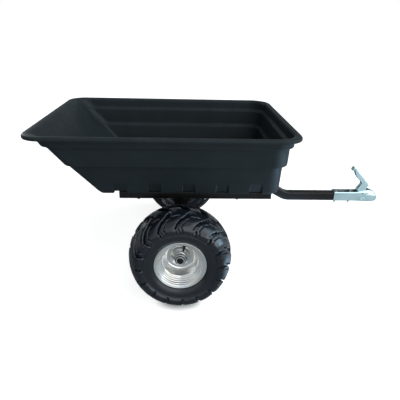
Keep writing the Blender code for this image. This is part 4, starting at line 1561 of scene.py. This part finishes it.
@dataclass
class Chassis:
    """Drawbar, pedestal and axle.

    Attributes:
        drawbar_width: Outside width of the drawbar tube.
        bend: Radius of the drawbar's bends.
        slope: Angle of its sloping run, in degrees.
        break_x: X where the level spine would meet the slope.
        low_z: Height of the tongue's middle.
        beam: Width of the axle beam.
        plate: Thickness of the pedestal's plates.
    """

    drawbar_width: float = 0.045
    bend: float = 0.100
    slope: float = 30.0
    break_x: float = 0.405
    low_z: float = 0.3227
    beam: float = 0.040
    plate: float = 0.005

    def drawbar_path(self) -> Array:
        """The drawbar's centre line: level, an arc down, a straight slope, an arc back, level.

        Returns:
            Points in three dimensions.
        """
        tangent = self.bend * math.tan(math.radians(self.slope / 2))
        second = self.break_x + (SPINE_Z - self.low_z) / math.tan(math.radians(self.slope))
        first_arc = arc((self.break_x - tangent, SPINE_Z - self.bend), self.bend, 90, 90 - self.slope, 10)
        second_arc = arc((second + tangent, self.low_z + self.bend), self.bend, 270 - self.slope, 270, 10)
        flat = [(PIVOT[0] + 0.022, SPINE_Z)] + first_arc + second_arc + [(0.950, self.low_z)]
        x, z = densified(np.array(flat), 0.02).T
        return np.stack([x, 0 * x, z], axis=1)

    def plate_outline(self) -> Array:
        """A side plate: round at the pivot eye, lapping the spine, narrowing to the axle beam.

        Returns:
            Points of the outline, X and Z.
        """
        under = SPINE_Z - self.drawbar_width / 2 - 0.004
        top = SPINE_Z + self.drawbar_width / 2 - 0.001
        foot = WHEEL_RADIUS + self.beam / 2 + GAP
        eye = arc(PIVOT, 0.0145, 90, 270, 24)
        rest = rounded([eye[-1], (-0.092, under), (-0.019, foot), (0.019, foot), (0.092, under),
                        (0.092, top), eye[0]], [0, 0.012, 0.003, 0.003, 0.012, 0.010, 0], 6)
        return np.vstack([eye, rest[1:-1]])

    def pedestal(self, shop: Workshop) -> None:
        """Adds the side plates, webs and their welds.

        Args:
            shop: The workshop.
        """
        middle = self.drawbar_width / 2 + GAP + self.plate / 2
        for side, sign in SIDES.items():
            shop.add(f"{side}_pedestal_plate", slab(self.plate_outline(), self.plate, sign * middle, 0.0006),
                     Slot.FRAME, Body.CHASSIS, [f"{side}_axle_plate"])
        under = SPINE_Z - self.drawbar_width / 2 - GAP
        foot = WHEEL_RADIUS + self.beam / 2 + GAP
        for name, sign in (("front", 1), ("rear", -1)):
            flat = ((0.013, foot), (0.0175, foot), (0.085, under), (0.0805, under))
            outline = [(sign * x, z) for x, z in flat]
            web = slab(rounded(outline[::sign], 0.001, 2, True), self.drawbar_width - GAP, 0, 0.0005)
            shop.add(f"{name}_pedestal_web", web, Slot.FRAME, Body.CHASSIS, [f"{name}_axle_web"])

    def axle(self, shop: Workshop) -> None:
        """Adds the axle beam with its stub axles, thrust washers and retaining rings.

        Args:
            shop: The workshop.
        """
        end = TRACK / 2 - 0.085
        path = np.array([(0, -end, WHEEL_RADIUS), (0, end, WHEEL_RADIUS)])
        shop.add("square_axle_beam", square_tube(path, self.beam, 0.003, (1, 0, 0)), Slot.FRAME, Body.CHASSIS,
                 ["axle_beam"])
        tip = TRACK / 2 + HUB_REACH + 0.010
        stub = [(0.0155, end - 0.060), (0.0155, end + GAP), (0.0195, end + GAP), (0.0195, end + 0.006),
                (0.0125, end + 0.006), (0.0125, tip - 0.0085), (0.0112, tip - 0.0085),
                (0.0112, tip - 0.0055), (0.0125, tip - 0.0055), (0.0125, tip - 0.0015), (0.0108, tip),
                (0.0028, tip), (0.0012, tip - 0.002)]
        ring = np.array(arc((0, 0), 0.0150, -65, 245, 40) + arc((0, 0), 0.0118, 245, -65, 40))
        for side, sign in SIDES.items():
            way = Way(side)
            turned = revolved(rounded(stub, 0.0005, 2), 64)
            shop.add(f"{side}_turned_stub", pointed(turned, way, (0, 0, WHEEL_RADIUS)), Slot.FRAME,
                     Body.CHASSIS, [f"{side}_stub_axle"])
            face = washer(0.0132, 0.0185, 0, 0.003, 0.0004, 64)
            spot = (0, sign * (TRACK / 2 - HUB_REACH - 0.0065), WHEEL_RADIUS)
            shop.add(f"{side}_washer", pointed(face, way, spot), Slot.BEARING, Body.CHASSIS,
                     [f"{side}_thrust_washer"])
            spring = slab(ring * (1, -sign), 0.0014, 0, 0.0003, 2)
            spring.points += (0, sign * (tip - 0.0070), WHEEL_RADIUS)
            shop.add(f"{side}_spring_ring", spring, Slot.FRAME, Body.CHASSIS,
                     [f"{side}_retaining_ring"])

    def build(self, shop: Workshop) -> None:
        """Adds every piece of the chassis but the coupler.

        Args:
            shop: The workshop.
        """
        shop.add("bent_drawbar", square_tube(self.drawbar_path(), self.drawbar_width, 0.003), Slot.FRAME,
                 Body.CHASSIS, ["drawbar"])
        self.pedestal(shop)
        self.axle(shop)
        reach = self.drawbar_width / 2 + GAP + self.plate + GAP
        bolt = Bolt(0.019, 0.0075, 0.006, 2 * reach + 0.0137, 0.010)
        spot = (PIVOT[0], -reach, PIVOT[1])
        shop.add("pivot_screw", pointed(bolt.screw(), Way.RIGHT, spot), Slot.FASTENER, Body.CHASSIS,
                 ["pivot_bolt"])
        nut_spot = (PIVOT[0], reach, PIVOT[1])
        shop.add("pivot_screw_nut", pointed(bolt.nut_surface(), Way.LEFT, nut_spot), Slot.FASTENER,
                 Body.CHASSIS, ["pivot_nut"])


@dataclass
class Subframe:
    """Rails and crossmembers under the tub, with the tub's bolts, the pivot bush and the latch staple.

    Attributes:
        width: Outside width of the tubes.
        wall: Thickness of their walls.
        rail_rear: X of the rails' rear ends.
        rail_front: X of their front ends.
        crossmembers: X of each crossmember's middle, from the rear.
    """

    width: float = 0.035
    wall: float = 0.0025
    rail_rear: float = -0.280
    rail_front: float = 0.418
    crossmembers: tuple[float, ...] = (-0.2615, PIVOT[0], 0.150, 0.4003)

    def build(self, shop: Workshop) -> None:
        """Adds every piece under the tub.

        Args:
            shop: The workshop.
        """
        for side, sign in SIDES.items():
            path = np.array([(x, sign * RAIL_Y, RAIL_MIDDLE) for x in (self.rail_rear, self.rail_front)])
            shop.add(f"{side}_square_rail", square_tube(path, self.width, self.wall), Slot.FRAME,
                     Body.TIPPING, [f"{side}_rail"])
        reach = RAIL_Y - self.width / 2 - GAP
        for name, x in zip(("rear", "pivot", "middle", "front"), self.crossmembers):
            path = np.array([(x, -reach, RAIL_MIDDLE), (x, reach, RAIL_MIDDLE)])
            shop.add(f"{name}_square_crossmember", square_tube(path, self.width, self.wall, (1, 0, 0)),
                     Slot.FRAME, Body.TIPPING, [f"{name}_crossmember"])
        bush = washer(0.0064, 0.0150, -0.0222, 0.0222, 0.0006, 64)
        shop.add("turned_pivot_bush", pointed(bush, Way.LEFT, (PIVOT[0], 0, PIVOT[1])), Slot.FRAME,
                 Body.TIPPING, ["pivot_bush"])
        self.staple(shop)
        self.bolts(shop)

    def staple(self, shop: Workshop) -> None:
        """Adds the round staple that the latch hooks over.

        Args:
            shop: The workshop.
        """
        root = self.crossmembers[-1] + self.width / 2 + GAP
        bar, low, high, bend = 0.441, 0.010, 0.045, 0.007
        flat = [(root, low)] + arc((bar - bend, low + bend), bend, -90, 0, 8)
        flat += arc((bar - bend, high - bend), bend, 0, 90, 8) + [(root, high)]
        x, y = densified(np.array(flat), 0.004).T
        path = np.stack([x, y, np.full_like(x, 0.4545)], axis=1)
        shop.add("round_staple", round_bar(path, 0.004, 20), Slot.FRAME, Body.TIPPING, ["latch_striker"])

    def bolts(self, shop: Workshop) -> None:
        """Adds the round-headed bolts through the lands between the tub's channels, and their nuts.

        Args:
            shop: The workshop.
        """
        dome = [(0.0006, 0.0048), (0.0030, 0.0046), (0.0062, 0.0037), (0.0088, 0.0019), (0.0100, 0.0004),
                (0.0100, 0.0), (0.0042, 0.0)]
        sides, nut = 24, Bolt(0.013, 0.0, 0.0041, 0.0, 0.0065)
        radius, height = rounded(dome, 0.0005, 2).T
        screw = np.concatenate([circled(radius, height, sides), threaded(0.004, -0.028, -0.048, sides)])
        on_floor = TUB_FLOOR + TUB_WALL + GAP
        under_rail = RAIL_MIDDLE - self.width / 2 - GAP - nut.nut
        for side, sign in SIDES.items():
            for land in (1, 3, 4):
                x = Tub.channel_first + Tub.channel_pitch * (land - 0.5)
                for name, node, surface, z in (("round_head", "tub_bolt", stacked(screw), on_floor),
                                               ("hexagon_nut", "tub_nut", nut.nut_surface(), under_rail)):
                    shop.add(f"{name}_{side}_{land}", pointed(surface, Way.UP, (x, sign * RAIL_Y, z)),
                             Slot.FASTENER, Body.TIPPING, [f"{node}_{side}_{land}"])


@dataclass
class Coupler:
    """The ball coupler: pressed body, raised lever, pins, bolts and locking jaw.

    Attributes:
        rear: X of the body's rear end.
        lever_pivot: (x, z) of the lever's pin.
        jaw_pivot: (x, z) of the jaw's pin.
        ball: (x, z) of the ball's centre.
        socket: Radius of the socket.
    """

    rear: float = 0.8386
    lever_pivot: tuple[float, float] = (1.000, 0.345)
    jaw_pivot: tuple[float, float] = (0.990, 0.309)
    ball: tuple[float, float] = (1.045, 0.3125)
    socket: float = 0.0256

    def body_rows(self) -> Array:
        """X, half-width, bottom, top and shoulder radius along the body.

        Returns:
            One row for each station.
        """
        levels = np.array([
            (self.rear, 0.0252, 0.3006, 0.3497, 0.0042), (self.rear + 0.0008, 0.0260, 0.3000, 0.3505, 0.005),
            (0.9600, 0.0260, 0.3000, 0.3505, 0.005), (0.9850, 0.0280, 0.2990, 0.3550, 0.008),
            (1.0100, 0.0312, 0.2985, 0.3605, 0.013), (1.0350, 0.0328, 0.2980, 0.3615, 0.019),
            (1.0550, 0.0312, 0.2985, 0.3560, 0.022), (1.0690, 0.0265, 0.3000, 0.3455, 0.020),
            (1.0775, 0.0195, 0.3020, 0.3310, 0.013), (1.0815, 0.0150, 0.3050, 0.3190, 0.006),
            (1.0840, 0.0122, 0.3072, 0.3178, 0.004), (1.0850, 0.0108, 0.3082, 0.3168, 0.0035),
        ])
        reach = [0, 0.0005, 0.010, 0.014, 0.014, 0.014, 0.012, 0.008, 0.004, 0.002, 0.0008, 0]
        return densified(rounded(levels, reach, 5), 0.0035)

    def body_surface(self) -> Surface:
        """The body's outside: each station is a rectangle with well rounded shoulders.

        On each flank the ground round a flat lens over the ball is pressed in by up to 1.9 mm. It has
        smooth edges, and runs from behind the lens to the nose.

        Returns:
            The body, before its openings are cut.
        """
        rows = self.body_rows()
        x, half, bottom, top, radius = (column[:, None] for column in rows.T)
        low = np.minimum(radius, 0.003)
        t = np.linspace(0, 1, 13)[None]
        quarter = t * math.pi / 2
        small = np.linspace(0, 1, 5)[None] * math.pi / 2
        rise = np.linspace(0, 1, 16)[None, 1:-1]
        side_y = [half - low + low * np.sin(small), half + 0 * rise,
                  half - radius + radius * np.cos(quarter)]
        side_z = [bottom + low - low * np.cos(small), (bottom + low) + (top - radius - bottom - low) * rise,
                  top - radius + radius * np.sin(quarter)]
        y, z = np.concatenate(side_y, axis=1), np.concatenate(side_z, axis=1)
        y = np.concatenate([y, -y[:, ::-1]], axis=1)
        z = np.concatenate([z, z[:, ::-1]], axis=1)
        xs = np.broadcast_to(x, y.shape)
        lens = ((xs - 1.034) / 0.034) ** 2 + ((z - 0.325) / 0.0165) ** 2
        dent = 0.0019 * smooth_step(lens, 0.86, 1.12) * smooth_step(xs, 0.984, 0.996)
        dent *= smooth_step(1.078 - xs, 0, 0.012) * smooth_step(np.abs(y) - half * 0.6, 0, 0.004)
        y = y - np.sign(y) * dent
        return stacked(np.stack([xs, y, z], axis=-1))

    def cutters(self) -> list[Surface]:
        """The drawbar's bay, the lever's slot, the jaw's hollow ahead of it, the window and the socket.

        Returns:
            The solids to cut away.
        """
        def block(x0: float, x1: float, half: float, z0: float, z1: float, corner: float) -> Surface:
            """Makes an upright block with rounded corners, from X and Z limits and half of its width."""
            outline = rounded([(x1, -half), (x1, half), (x0, half), (x0, -half)], corner, 5, True)
            flat = np.stack([outline[:, 0], outline[:, 1], 0 * outline[:, 0]], axis=1)
            return stacked(np.stack([flat + (0, 0, z0), flat + (0, 0, z1)]))

        bay = slab(rounded([(0.80, 0.2), (0.954, 0.2), (0.954, 0.3456), (0.80, 0.3456)], 0.0001, 1, True),
                   0.0458, 0, 0.0001, 1)
        turns = np.radians(np.linspace(0, 82, 22))
        dome = [(self.socket, -0.1)] + [(self.socket * math.cos(a), self.socket * math.sin(a)) for a in turns]
        socket = pointed(revolved(np.array(dome), 72), Way.UP, (self.ball[0], 0, self.ball[1]))
        slots = [block(0.9520, 1.0180, 0.0155, 0.2, 0.4, 0.004),
                 block(1.0100, 1.0330, 0.0115, 0.2, 0.3285, 0.001)]
        window = block(0.8615, 0.9235, 0.0165, 0.33, 0.4, 0.004)
        return [bay, *slots, window, socket]

    def lever_outline(self) -> Array:
        """The lever's side view: hub, leg up to the knee, arm back to the finger hook.

        Returns:
            Points of the outline, X and Z.
        """
        corners = arc(self.lever_pivot, 0.0120, 190, 340, 16) + [
            (1.0130, 0.3500), (1.0160, 0.3650)] + arc((1.0185, 0.3900), 0.0090, -20, 45, 8)
        corners += arc((0.9330, 0.4800), 0.0095, 60, 175, 14)
        corners += [(0.9215, 0.4715), (0.9270, 0.4700), (0.9330, 0.4735), (0.9390, 0.4690), (0.9460, 0.4470),
                    (0.9600, 0.4270), (0.9760, 0.4120), (0.9870, 0.4010), (0.9830, 0.3900), (0.9720, 0.3730),
                    (0.9640, 0.3600)]
        return densified(rounded(corners, 0.0035, 4, closed=True), 0.004)

    def lever(self, shop: Workshop) -> None:
        """Adds the lever, a pressed channel open towards the drawbar.

        Args:
            shop: The workshop.
        """
        solid = slab(self.lever_outline(), 0.028, 0, 0.0030, 5)
        corners = [(0.9300, 0.4850), (1.0135, 0.3990), (1.0070, 0.3920), (0.9700, 0.3960), (0.9150, 0.4500)]
        hollow = rounded(corners, 0.003, 4, True)
        pocket = slab(hollow[::-1], 0.0220, 0, 0.001, 2)
        shop.add("pressed_lever", solid, Slot.COUPLER, Body.LEVER, ["coupler_lever"], cutters=[pocket])

    def jaw(self, shop: Workshop) -> None:
        """Adds the locking jaw.

        Args:
            shop: The workshop.
        """
        px, pz = self.jaw_pivot
        shape = arc((0, 0), 0.0062, 110, 290, 14) + [(0.0140, -0.0180), (0.0330, -0.0175), (0.0330, -0.0150),
                                                    (0.0275, -0.0080), (0.0255, 0.0010), (0.0150, 0.0060)]
        outline = rounded(shape, 0.0012, 3, closed=True) + (px, pz)
        shop.add("ball_jaw", slab(outline, 0.021, 0, 0.0008), Slot.COUPLER, Body.JAW, ["locking_jaw"])

    def build(self, shop: Workshop) -> None:
        """Adds every piece of the coupler.

        Args:
            shop: The workshop.
        """
        shop.add("pressed_coupler", self.body_surface(), Slot.COUPLER, Body.CHASSIS, ["coupler_body"],
                 cutters=self.cutters())
        self.lever(shop)
        self.jaw(shop)
        top, under = 0.3508, 0.2999
        bolt = Bolt(0.016, 0.0065, 0.005, top - under + 0.0165, 0.008)
        for name, x in {"rear": 0.853, "front": 0.932}.items():
            shop.add(f"{name}_coupler_screw", pointed(bolt.screw(), Way.UP, (x, 0, top)), Slot.FASTENER,
                     Body.CHASSIS, [f"{name}_coupler_bolt"])
            shop.add(f"{name}_coupler_screw_nut", pointed(bolt.nut_surface(), Way.UP, (x, 0, under - 0.008)),
                     Slot.FASTENER, Body.CHASSIS, [f"{name}_coupler_nut"])
        for name, spot, radius, reach in (("lever", self.lever_pivot, 0.004, 0.0325),
                                          ("jaw", self.jaw_pivot, 0.003, 0.0308)):
            head = [(radius * 1.6, reach - 0.0012), (radius * 1.6, reach + 0.0010),
                    (radius * 1.3, reach + 0.0023), (radius * 0.5, reach + 0.0028)]
            profile = [(r, -z) for r, z in head[::-1]] + [(radius, -reach), (radius, reach)] + head
            pin = revolved(rounded(profile, 0.0004, 2), 40)
            shop.add(f"{name}_rivet", pointed(pin, Way.LEFT, (spot[0], 0, spot[1])), Slot.COUPLER,
                     Body.CHASSIS, [f"{name}_pin"])


@dataclass
class Latch:
    """The tub's hook latch on the drawbar, swung forward off its staple.

    Attributes:
        pivot: (x, z) of its bolt.
        open_angle: How far it stands open, in degrees.
    """

    pivot: tuple[float, float] = (0.452, 0.398)
    open_angle: float = 24.0

    def outline(self) -> Array:
        """The hook's outline: polar points about the pivot, each given as degrees back and radius.

        Returns:
            Points of the outline, X and Z.
        """
        polar = np.array([(-14, 0.030), (-16, 0.042), (-26, 0.054), (-38, 0.064), (-33, 0.071), (-20, 0.0680),
                          (-6, 0.0735), (8, 0.0735), (22, 0.0705), (24, 0.0640), (15, 0.0638), (6, 0.0638),
                          (5, 0.0500), (8, 0.0300)])
        turn = np.radians(polar[:, 0])
        flat = np.stack([-polar[:, 1] * np.sin(turn), polar[:, 1] * np.cos(turn)], axis=1)
        hub = arc((0, 0), 0.0115, 180, 360, 20)
        outline = rounded(hub + flat.tolist(), 0.0025, 4, closed=True)
        swing = math.radians(self.open_angle)
        x = outline[:, 0] * math.cos(swing) + outline[:, 1] * math.sin(swing)
        z = outline[:, 1] * math.cos(swing) - outline[:, 0] * math.sin(swing)
        return np.stack([x, z], axis=1) + self.pivot

    def build(self, shop: Workshop) -> None:
        """Adds the hook and its bolt.

        Args:
            shop: The workshop.
        """
        middle = 0.0225 + 0.0010 + 0.0025
        shop.add("hook_latch", slab(self.outline(), 0.005, middle, 0.0006), Slot.FRAME, Body.LATCH,
                 ["tub_latch"])
        bolt = Bolt(0.013, 0.0055, 0.004, 0.020)
        spot = (self.pivot[0], middle + 0.0035, self.pivot[1])
        shop.add("latch_screw", pointed(bolt.screw(), Way.LEFT, spot), Slot.FASTENER, Body.CHASSIS,
                 ["latch_bolt"])


@dataclass
class Welds:
    """Weld beads: rippled round bars laid in the corners where welded pieces meet.

    Attributes:
        chassis: The chassis that they are on.
        subframe: The frame under the tub that they are on.
        radius: Radius of a bead.
        ripple: Distance between ripples.
    """

    chassis: Chassis
    subframe: Subframe
    radius: float = 0.0022
    ripple: float = 0.0032

    def bead(self, start: Sequence[float], end: Sequence[float]) -> Surface:
        """One bead: a circle carried along a line, its radius swinging with the distance along it.

        Args:
            start: Where it starts.
            end: Where it ends.

        Returns:
            The closed bead.
        """
        a, b = np.asarray(start, float), np.asarray(end, float)
        length = float(np.linalg.norm(b - a))
        count = max(8, int(length / self.ripple * 4))
        t = np.linspace(0, 1, count)
        along = (b - a) / length
        first = np.cross(along, (0.31, 0.52, 0.79))
        first /= np.linalg.norm(first)
        second = np.cross(along, first)
        swell = 1 + 0.13 * np.cos(math.tau * t * length / self.ripple)
        ends = np.sqrt(np.clip(1 - (np.abs(t - 0.5) * 2) ** 14, 0.04, 1))
        reach = (self.radius * swell * ends)[:, None, None]
        turns = np.linspace(0, math.tau, 10, endpoint=False)
        circle = np.cos(turns)[:, None] * first + np.sin(turns)[:, None] * second
        return stacked((a + np.outer(t, b - a))[:, None] + reach * circle[None])

    def build(self, shop: Workshop) -> None:
        """Adds the beads of the chassis and of the frame under the tub.

        Args:
            shop: The workshop.
        """
        half = self.chassis.drawbar_width / 2
        under = SPINE_Z - half
        foot = WHEEL_RADIUS + self.chassis.beam / 2
        beads = []
        for sign in (1, -1):
            y = sign * (half + self.chassis.plate)
            beads.append(self.bead((-0.017, y + sign * 0.0008, foot), (0.017, y + sign * 0.0008, foot)))
            corner = (0.094, sign * half)
            beads.append(self.bead((*corner, under + 0.008), (*corner, SPINE_Z + 0.014)))
            x = sign * 0.0178
            beads.append(self.bead((x, -0.021, foot), (x, 0.021, foot)))
            x = sign * 0.0858
            beads.append(self.bead((x, -0.021, under), (x, 0.021, under)))
        shop.add("pedestal_welds", together(beads), Slot.FRAME, Body.CHASSIS)
        beads = []
        half, run = self.subframe.width / 2, 0.013
        rear, front = self.subframe.rail_rear, self.subframe.rail_front
        low = RAIL_MIDDLE - half + GAP
        for x in self.subframe.crossmembers:
            for y in (RAIL_Y - half, half - RAIL_Y):
                for edge in (x - half, x + half):
                    if rear + GAP < edge < front - GAP:
                        beads.append(self.bead((edge, y, RAIL_MIDDLE - run), (edge, y, RAIL_MIDDLE + run)))
                beads.append(self.bead((x - run, y, low), (x + run, y, low)))
        shop.add("subframe_welds", together(beads), Slot.FRAME, Body.TIPPING)


def aimed(lamp: bpy.types.Object, direction: Sequence[float]) -> None:
    """Turns a lamp so that it shines in a direction."""
    lamp.rotation_mode = "QUATERNION"
    lamp.rotation_quaternion = Vector(direction).to_track_quat("-Z", "Y")


@dataclass(frozen=True)
class Lamp:
    """A soft rectangular lamp that the camera doesn't see.

    Attributes:
        name: Its name.
        spot: Where it stands.
        aim: Where it points.
        size: Its width and height.
        power: Its power in watts.
        colour: Its colour.
        matt: Whether it lights matt surfaces.
        mirrored: Whether it shows in reflections.
    """

    name: str
    spot: tuple[float, float, float]
    aim: tuple[float, float, float]
    size: tuple[float, float]
    power: float
    colour: Colour
    matt: bool = True
    mirrored: bool = True

    def build(self) -> None:
        """Adds the lamp."""
        data = bpy.data.lights.new(self.name, "AREA")
        data.shape = "RECTANGLE"
        data.size, data.size_y = self.size
        data.energy = self.power
        data.color = self.colour
        lamp = placed(self.name, data)
        lamp.location = self.spot
        lamp.visible_camera = False
        lamp.visible_diffuse = self.matt
        lamp.visible_glossy = self.mirrored
        aimed(lamp, Vector(self.aim) - Vector(self.spot))


LAMPS = (
    Lamp("right_softbox", (2.15, 0.0, 2.15), (0, 0, 0.30), (1.6, 1.9), 8, (0.62, 0.84, 1.0)),
    Lamp("near_softbox", (2.3, -1.7, 1.0), (0, 0, 0.35), (0.9, 0.9), 8, (0.86, 0.97, 0.94)),
    Lamp("near_fill", (0.3, -3.0, 0.50), (0, 0, 0.42), (2.4, 0.7), 12, (0.92, 0.98, 1.0), mirrored=False),
    Lamp("right_card", (2.7, -0.35, 1.35), (0, 0, 0.30), (1.6, 2.6), 12, (0.60, 0.82, 1.0), matt=False),
    Lamp("low_card", (0.56, -0.46, 0.41), (0, -0.46, 0.38), (0.34, 0.24), 1.15, (0.48, 0.75, 1.0),
         matt=False),
    Lamp("left_card", (-2.2, 1.7, 1.7), (0, 0, 0.35), (0.5, 1.5), 14, (0.9, 0.96, 1.0), matt=False),
)


@dataclass
class Studio:
    """White floor, surroundings, a wide sun, soft lamps and the camera.

    Attributes:
        eye: The camera's place.
        yaw: Degrees that the view turns towards +X.
        pitch: Degrees that it looks down.
        roll: Degrees that it is turned about its own line of sight.
        lens: Focal length for a 36 mm sensor.
        sky: Mean strength of the surroundings as a light.
        sun_strength: Strength of the main light.
        floor_glow: What the floor adds for the camera to read white.
        painted_light_pool: Middle of the glowing pale pool, painted light, that reflections show on the
            floor.
        floor_reach: Half of the floor's width.
    """

    eye: tuple[float, float, float] = (-0.2043, -2.0537, 1.1944)
    yaw: float = 2.676
    pitch: float = 23.81
    roll: float = 1.483
    lens: float = 36.70
    sky: float = 0.22
    sun_strength: float = 1.6
    floor_glow: float = 0.80
    painted_light_pool: tuple[float, float, float] = (0.46, -0.46, 0.0)
    floor_reach: float = 30.0

    def camera(self) -> None:
        """Sets the camera by its yaw, pitch and roll."""
        yaw, pitch, roll = (math.radians(angle) for angle in (self.yaw, self.pitch, self.roll))
        ahead = Vector((math.sin(yaw) * math.cos(pitch), math.cos(yaw) * math.cos(pitch), -math.sin(pitch)))
        right = Vector((math.cos(yaw), -math.sin(yaw), 0))
        up = right.cross(ahead)
        turned_right = math.cos(roll) * right + math.sin(roll) * up
        turned_up = math.cos(roll) * up - math.sin(roll) * right
        data = bpy.data.cameras.new("studio_camera")
        data.sensor_width = 36.0
        data.lens = self.lens
        data.clip_start, data.clip_end = 0.05, 60.0
        camera = placed("studio_camera", data)
        turn = Matrix((turned_right, turned_up, -ahead)).transposed()
        camera.matrix_world = Matrix.Translation(self.eye) @ turn.to_4x4()
        bpy.context.scene.camera = camera

    def floor_cover(self) -> bpy.types.Material:
        """Makes the floor's material, which keeps shadows and reads white to the camera.

        Its glow is drawn in where the object stands close, by m = clip(2.2 o - 0.25) for openness o, which
        paints a dark contact shadow round the object. Matt surfaces get little light back from it. In
        reflections it is bluish, with painted light: dim at -X and bright at +X, as if lit from the right,
        and a glowing pale pool beside the near wheel that nothing but a reflection shows.

        Returns:
            The material.
        """
        made = bpy.data.materials.new("white_floor")
        made.use_nodes = True
        nodes = made.node_tree.nodes
        nodes.remove(nodes["Principled BSDF"])
        sheet = Sheet(made.node_tree)
        rays = sheet.add("LightPath").outputs
        place = sheet.add("TexCoord").outputs["Object"]
        # Painted light: in reflections the floor is dim at -X and bright at +X, as if lit from the right.
        along = sheet.span(sheet.parts(place)["X"], -1.2, 1.4)
        mirrored = sheet.mix(along, (0.40, 0.44, 0.49, 1), (0.95, 1.0, 1.0, 1))
        unseen = sheet.mix(rays["Is Glossy Ray"], (0.42, 0.42, 0.42, 1), mirrored)
        cover = sheet.mix(rays["Is Camera Ray"], unseen, (0.97, 0.97, 0.97, 1))
        matt = sheet.add("BsdfDiffuse", {"Color": cover})
        # Painted shadow: ambient occlusion cuts the camera's glow, which paints a dark contact shadow round
        # the object on the floor.
        openness = sheet.add("AmbientOcclusion", {"Distance": 0.055}, samples=8).outputs["AO"]
        clear = sheet.math("SUBTRACT", sheet.math("MULTIPLY", openness, 2.2), 0.25, clamp=True)
        strength = sheet.math("MULTIPLY", rays["Is Camera Ray"], self.floor_glow)
        glow = sheet.add("Emission", {"Strength": sheet.math("MULTIPLY", strength, clear)})
        # Painted light: a glowing pale pool beside the near wheel, which only reflections show.
        away = sheet.add("VectorMath", {0: place, 1: self.painted_light_pool}, operation="DISTANCE").outputs["Value"]
        pale = sheet.span(away, 0.46, 0.05, 0.0, 1.8, smooth=True)
        shine = sheet.math("MULTIPLY", rays["Is Glossy Ray"], pale)
        lit = sheet.add("Emission", {"Color": (0.45, 0.72, 1.0, 1), "Strength": shine})
        first = sheet.add("AddShader", {0: matt.outputs[0], 1: glow.outputs[0]})
        both = sheet.add("AddShader", {0: first.outputs[0], 1: lit.outputs[0]})
        sheet.feed(nodes["Material Output"], {"Surface": both.outputs[0]})
        return made

    def floor(self) -> None:
        """Adds the floor, a square about the origin."""
        corners = self.floor_reach * np.array([(-1, -1, 0), (1, -1, 0), (1, 1, 0), (-1, 1, 0)], float)
        floor = meshed("studio_floor", Surface(corners, [[0, 1, 2, 3]]))
        floor.data.materials.append(self.floor_cover())

    def surroundings(self) -> None:
        """Sets the world: white to the camera, a soft sky as a light, and a studio in reflections.

        A reflected ray of direction (x, y, z) sees 0.10 + 0.5 s(z) + 0.75 s(-y), where s rises smoothly
        from 0 to 1: dim behind the object, brighter overhead, brightest before it. A backdrop adds 0.48
        low behind it and fades out between z = 0.16 and 0.25. As a light the sky rises with x from 0.6
        to 1.4 of its strength.
        """
        world = bpy.data.worlds.new("studio_world")
        bpy.context.scene.world = world
        world.use_nodes = True
        sheet = Sheet(world.node_tree)
        rays = sheet.add("LightPath").outputs
        seen = sheet.math("MAXIMUM", rays["Is Camera Ray"], rays["Is Transmission Ray"])
        x, y, z = sheet.parts(sheet.add("TexCoord").outputs["Generated"])
        over = sheet.span(z, 0.35, 0.95, 0.10, 0.60, smooth=True)
        before = sheet.span(y, 0.2, -0.8, 0.0, 0.75, smooth=True)
        low = sheet.span(z, 0.25, 0.16, 0.0, 0.48, smooth=True)
        backdrop = sheet.math("MULTIPLY", low, sheet.math("GREATER_THAN", y, 0.0))
        mirrored = sheet.math("ADD", sheet.math("ADD", over, before), backdrop)
        sky = sheet.span(x, -0.9, 0.9, self.sky * 0.6, self.sky * 1.4, smooth=True)
        kinds = (((1, 1, 1), 1.0), ((0.88, 0.95, 1), mirrored), ((0.96, 0.985, 1.0), sky))
        shown, glossy, light = (
            sheet.add("Background", {"Color": (*colour, 1), "Strength": strength}).outputs[0]
            for colour, strength in kinds)
        unseen = sheet.add("MixShader", {0: rays["Is Glossy Ray"], 1: light, 2: glossy}).outputs[0]
        whole = sheet.add("MixShader", {0: seen, 1: unseen, 2: shown}).outputs[0]
        sheet.feed(world.node_tree.nodes["World Output"], {"Surface": whole})

    def sun(self) -> None:
        """Adds the main light: a very wide soft sun from the front right, about 33 degrees up."""
        data = bpy.data.lights.new("soft_sun", "SUN")
        data.energy = self.sun_strength
        data.angle = math.radians(90)
        data.color = (0.92, 0.97, 1.0)
        aimed(placed("soft_sun", data), (-0.72, 0.55, -0.58))

    def build(self) -> None:
        """Builds the studio."""
        self.surroundings()
        self.floor()
        self.sun()
        for lamp in LAMPS:
            lamp.build()
        self.camera()
        bpy.context.scene.view_settings.view_transform = "Standard"


def main() -> None:
    """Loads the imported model, dresses it and sets up the studio."""
    logging.basicConfig(level=logging.INFO, format="%(name)s %(message)s")
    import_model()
    shop = Workshop.open()
    Studio().build()
    Tub().build(shop)
    subframe, chassis = Subframe(), Chassis()
    subframe.build(shop)
    chassis.build(shop)
    for side in SIDES:
        Wheel(side, Tyre()).build(shop)
    Coupler().build(shop)
    Latch().build(shop)
    Welds(chassis, subframe).build(shop)


if __name__ == "__main__":
    main()
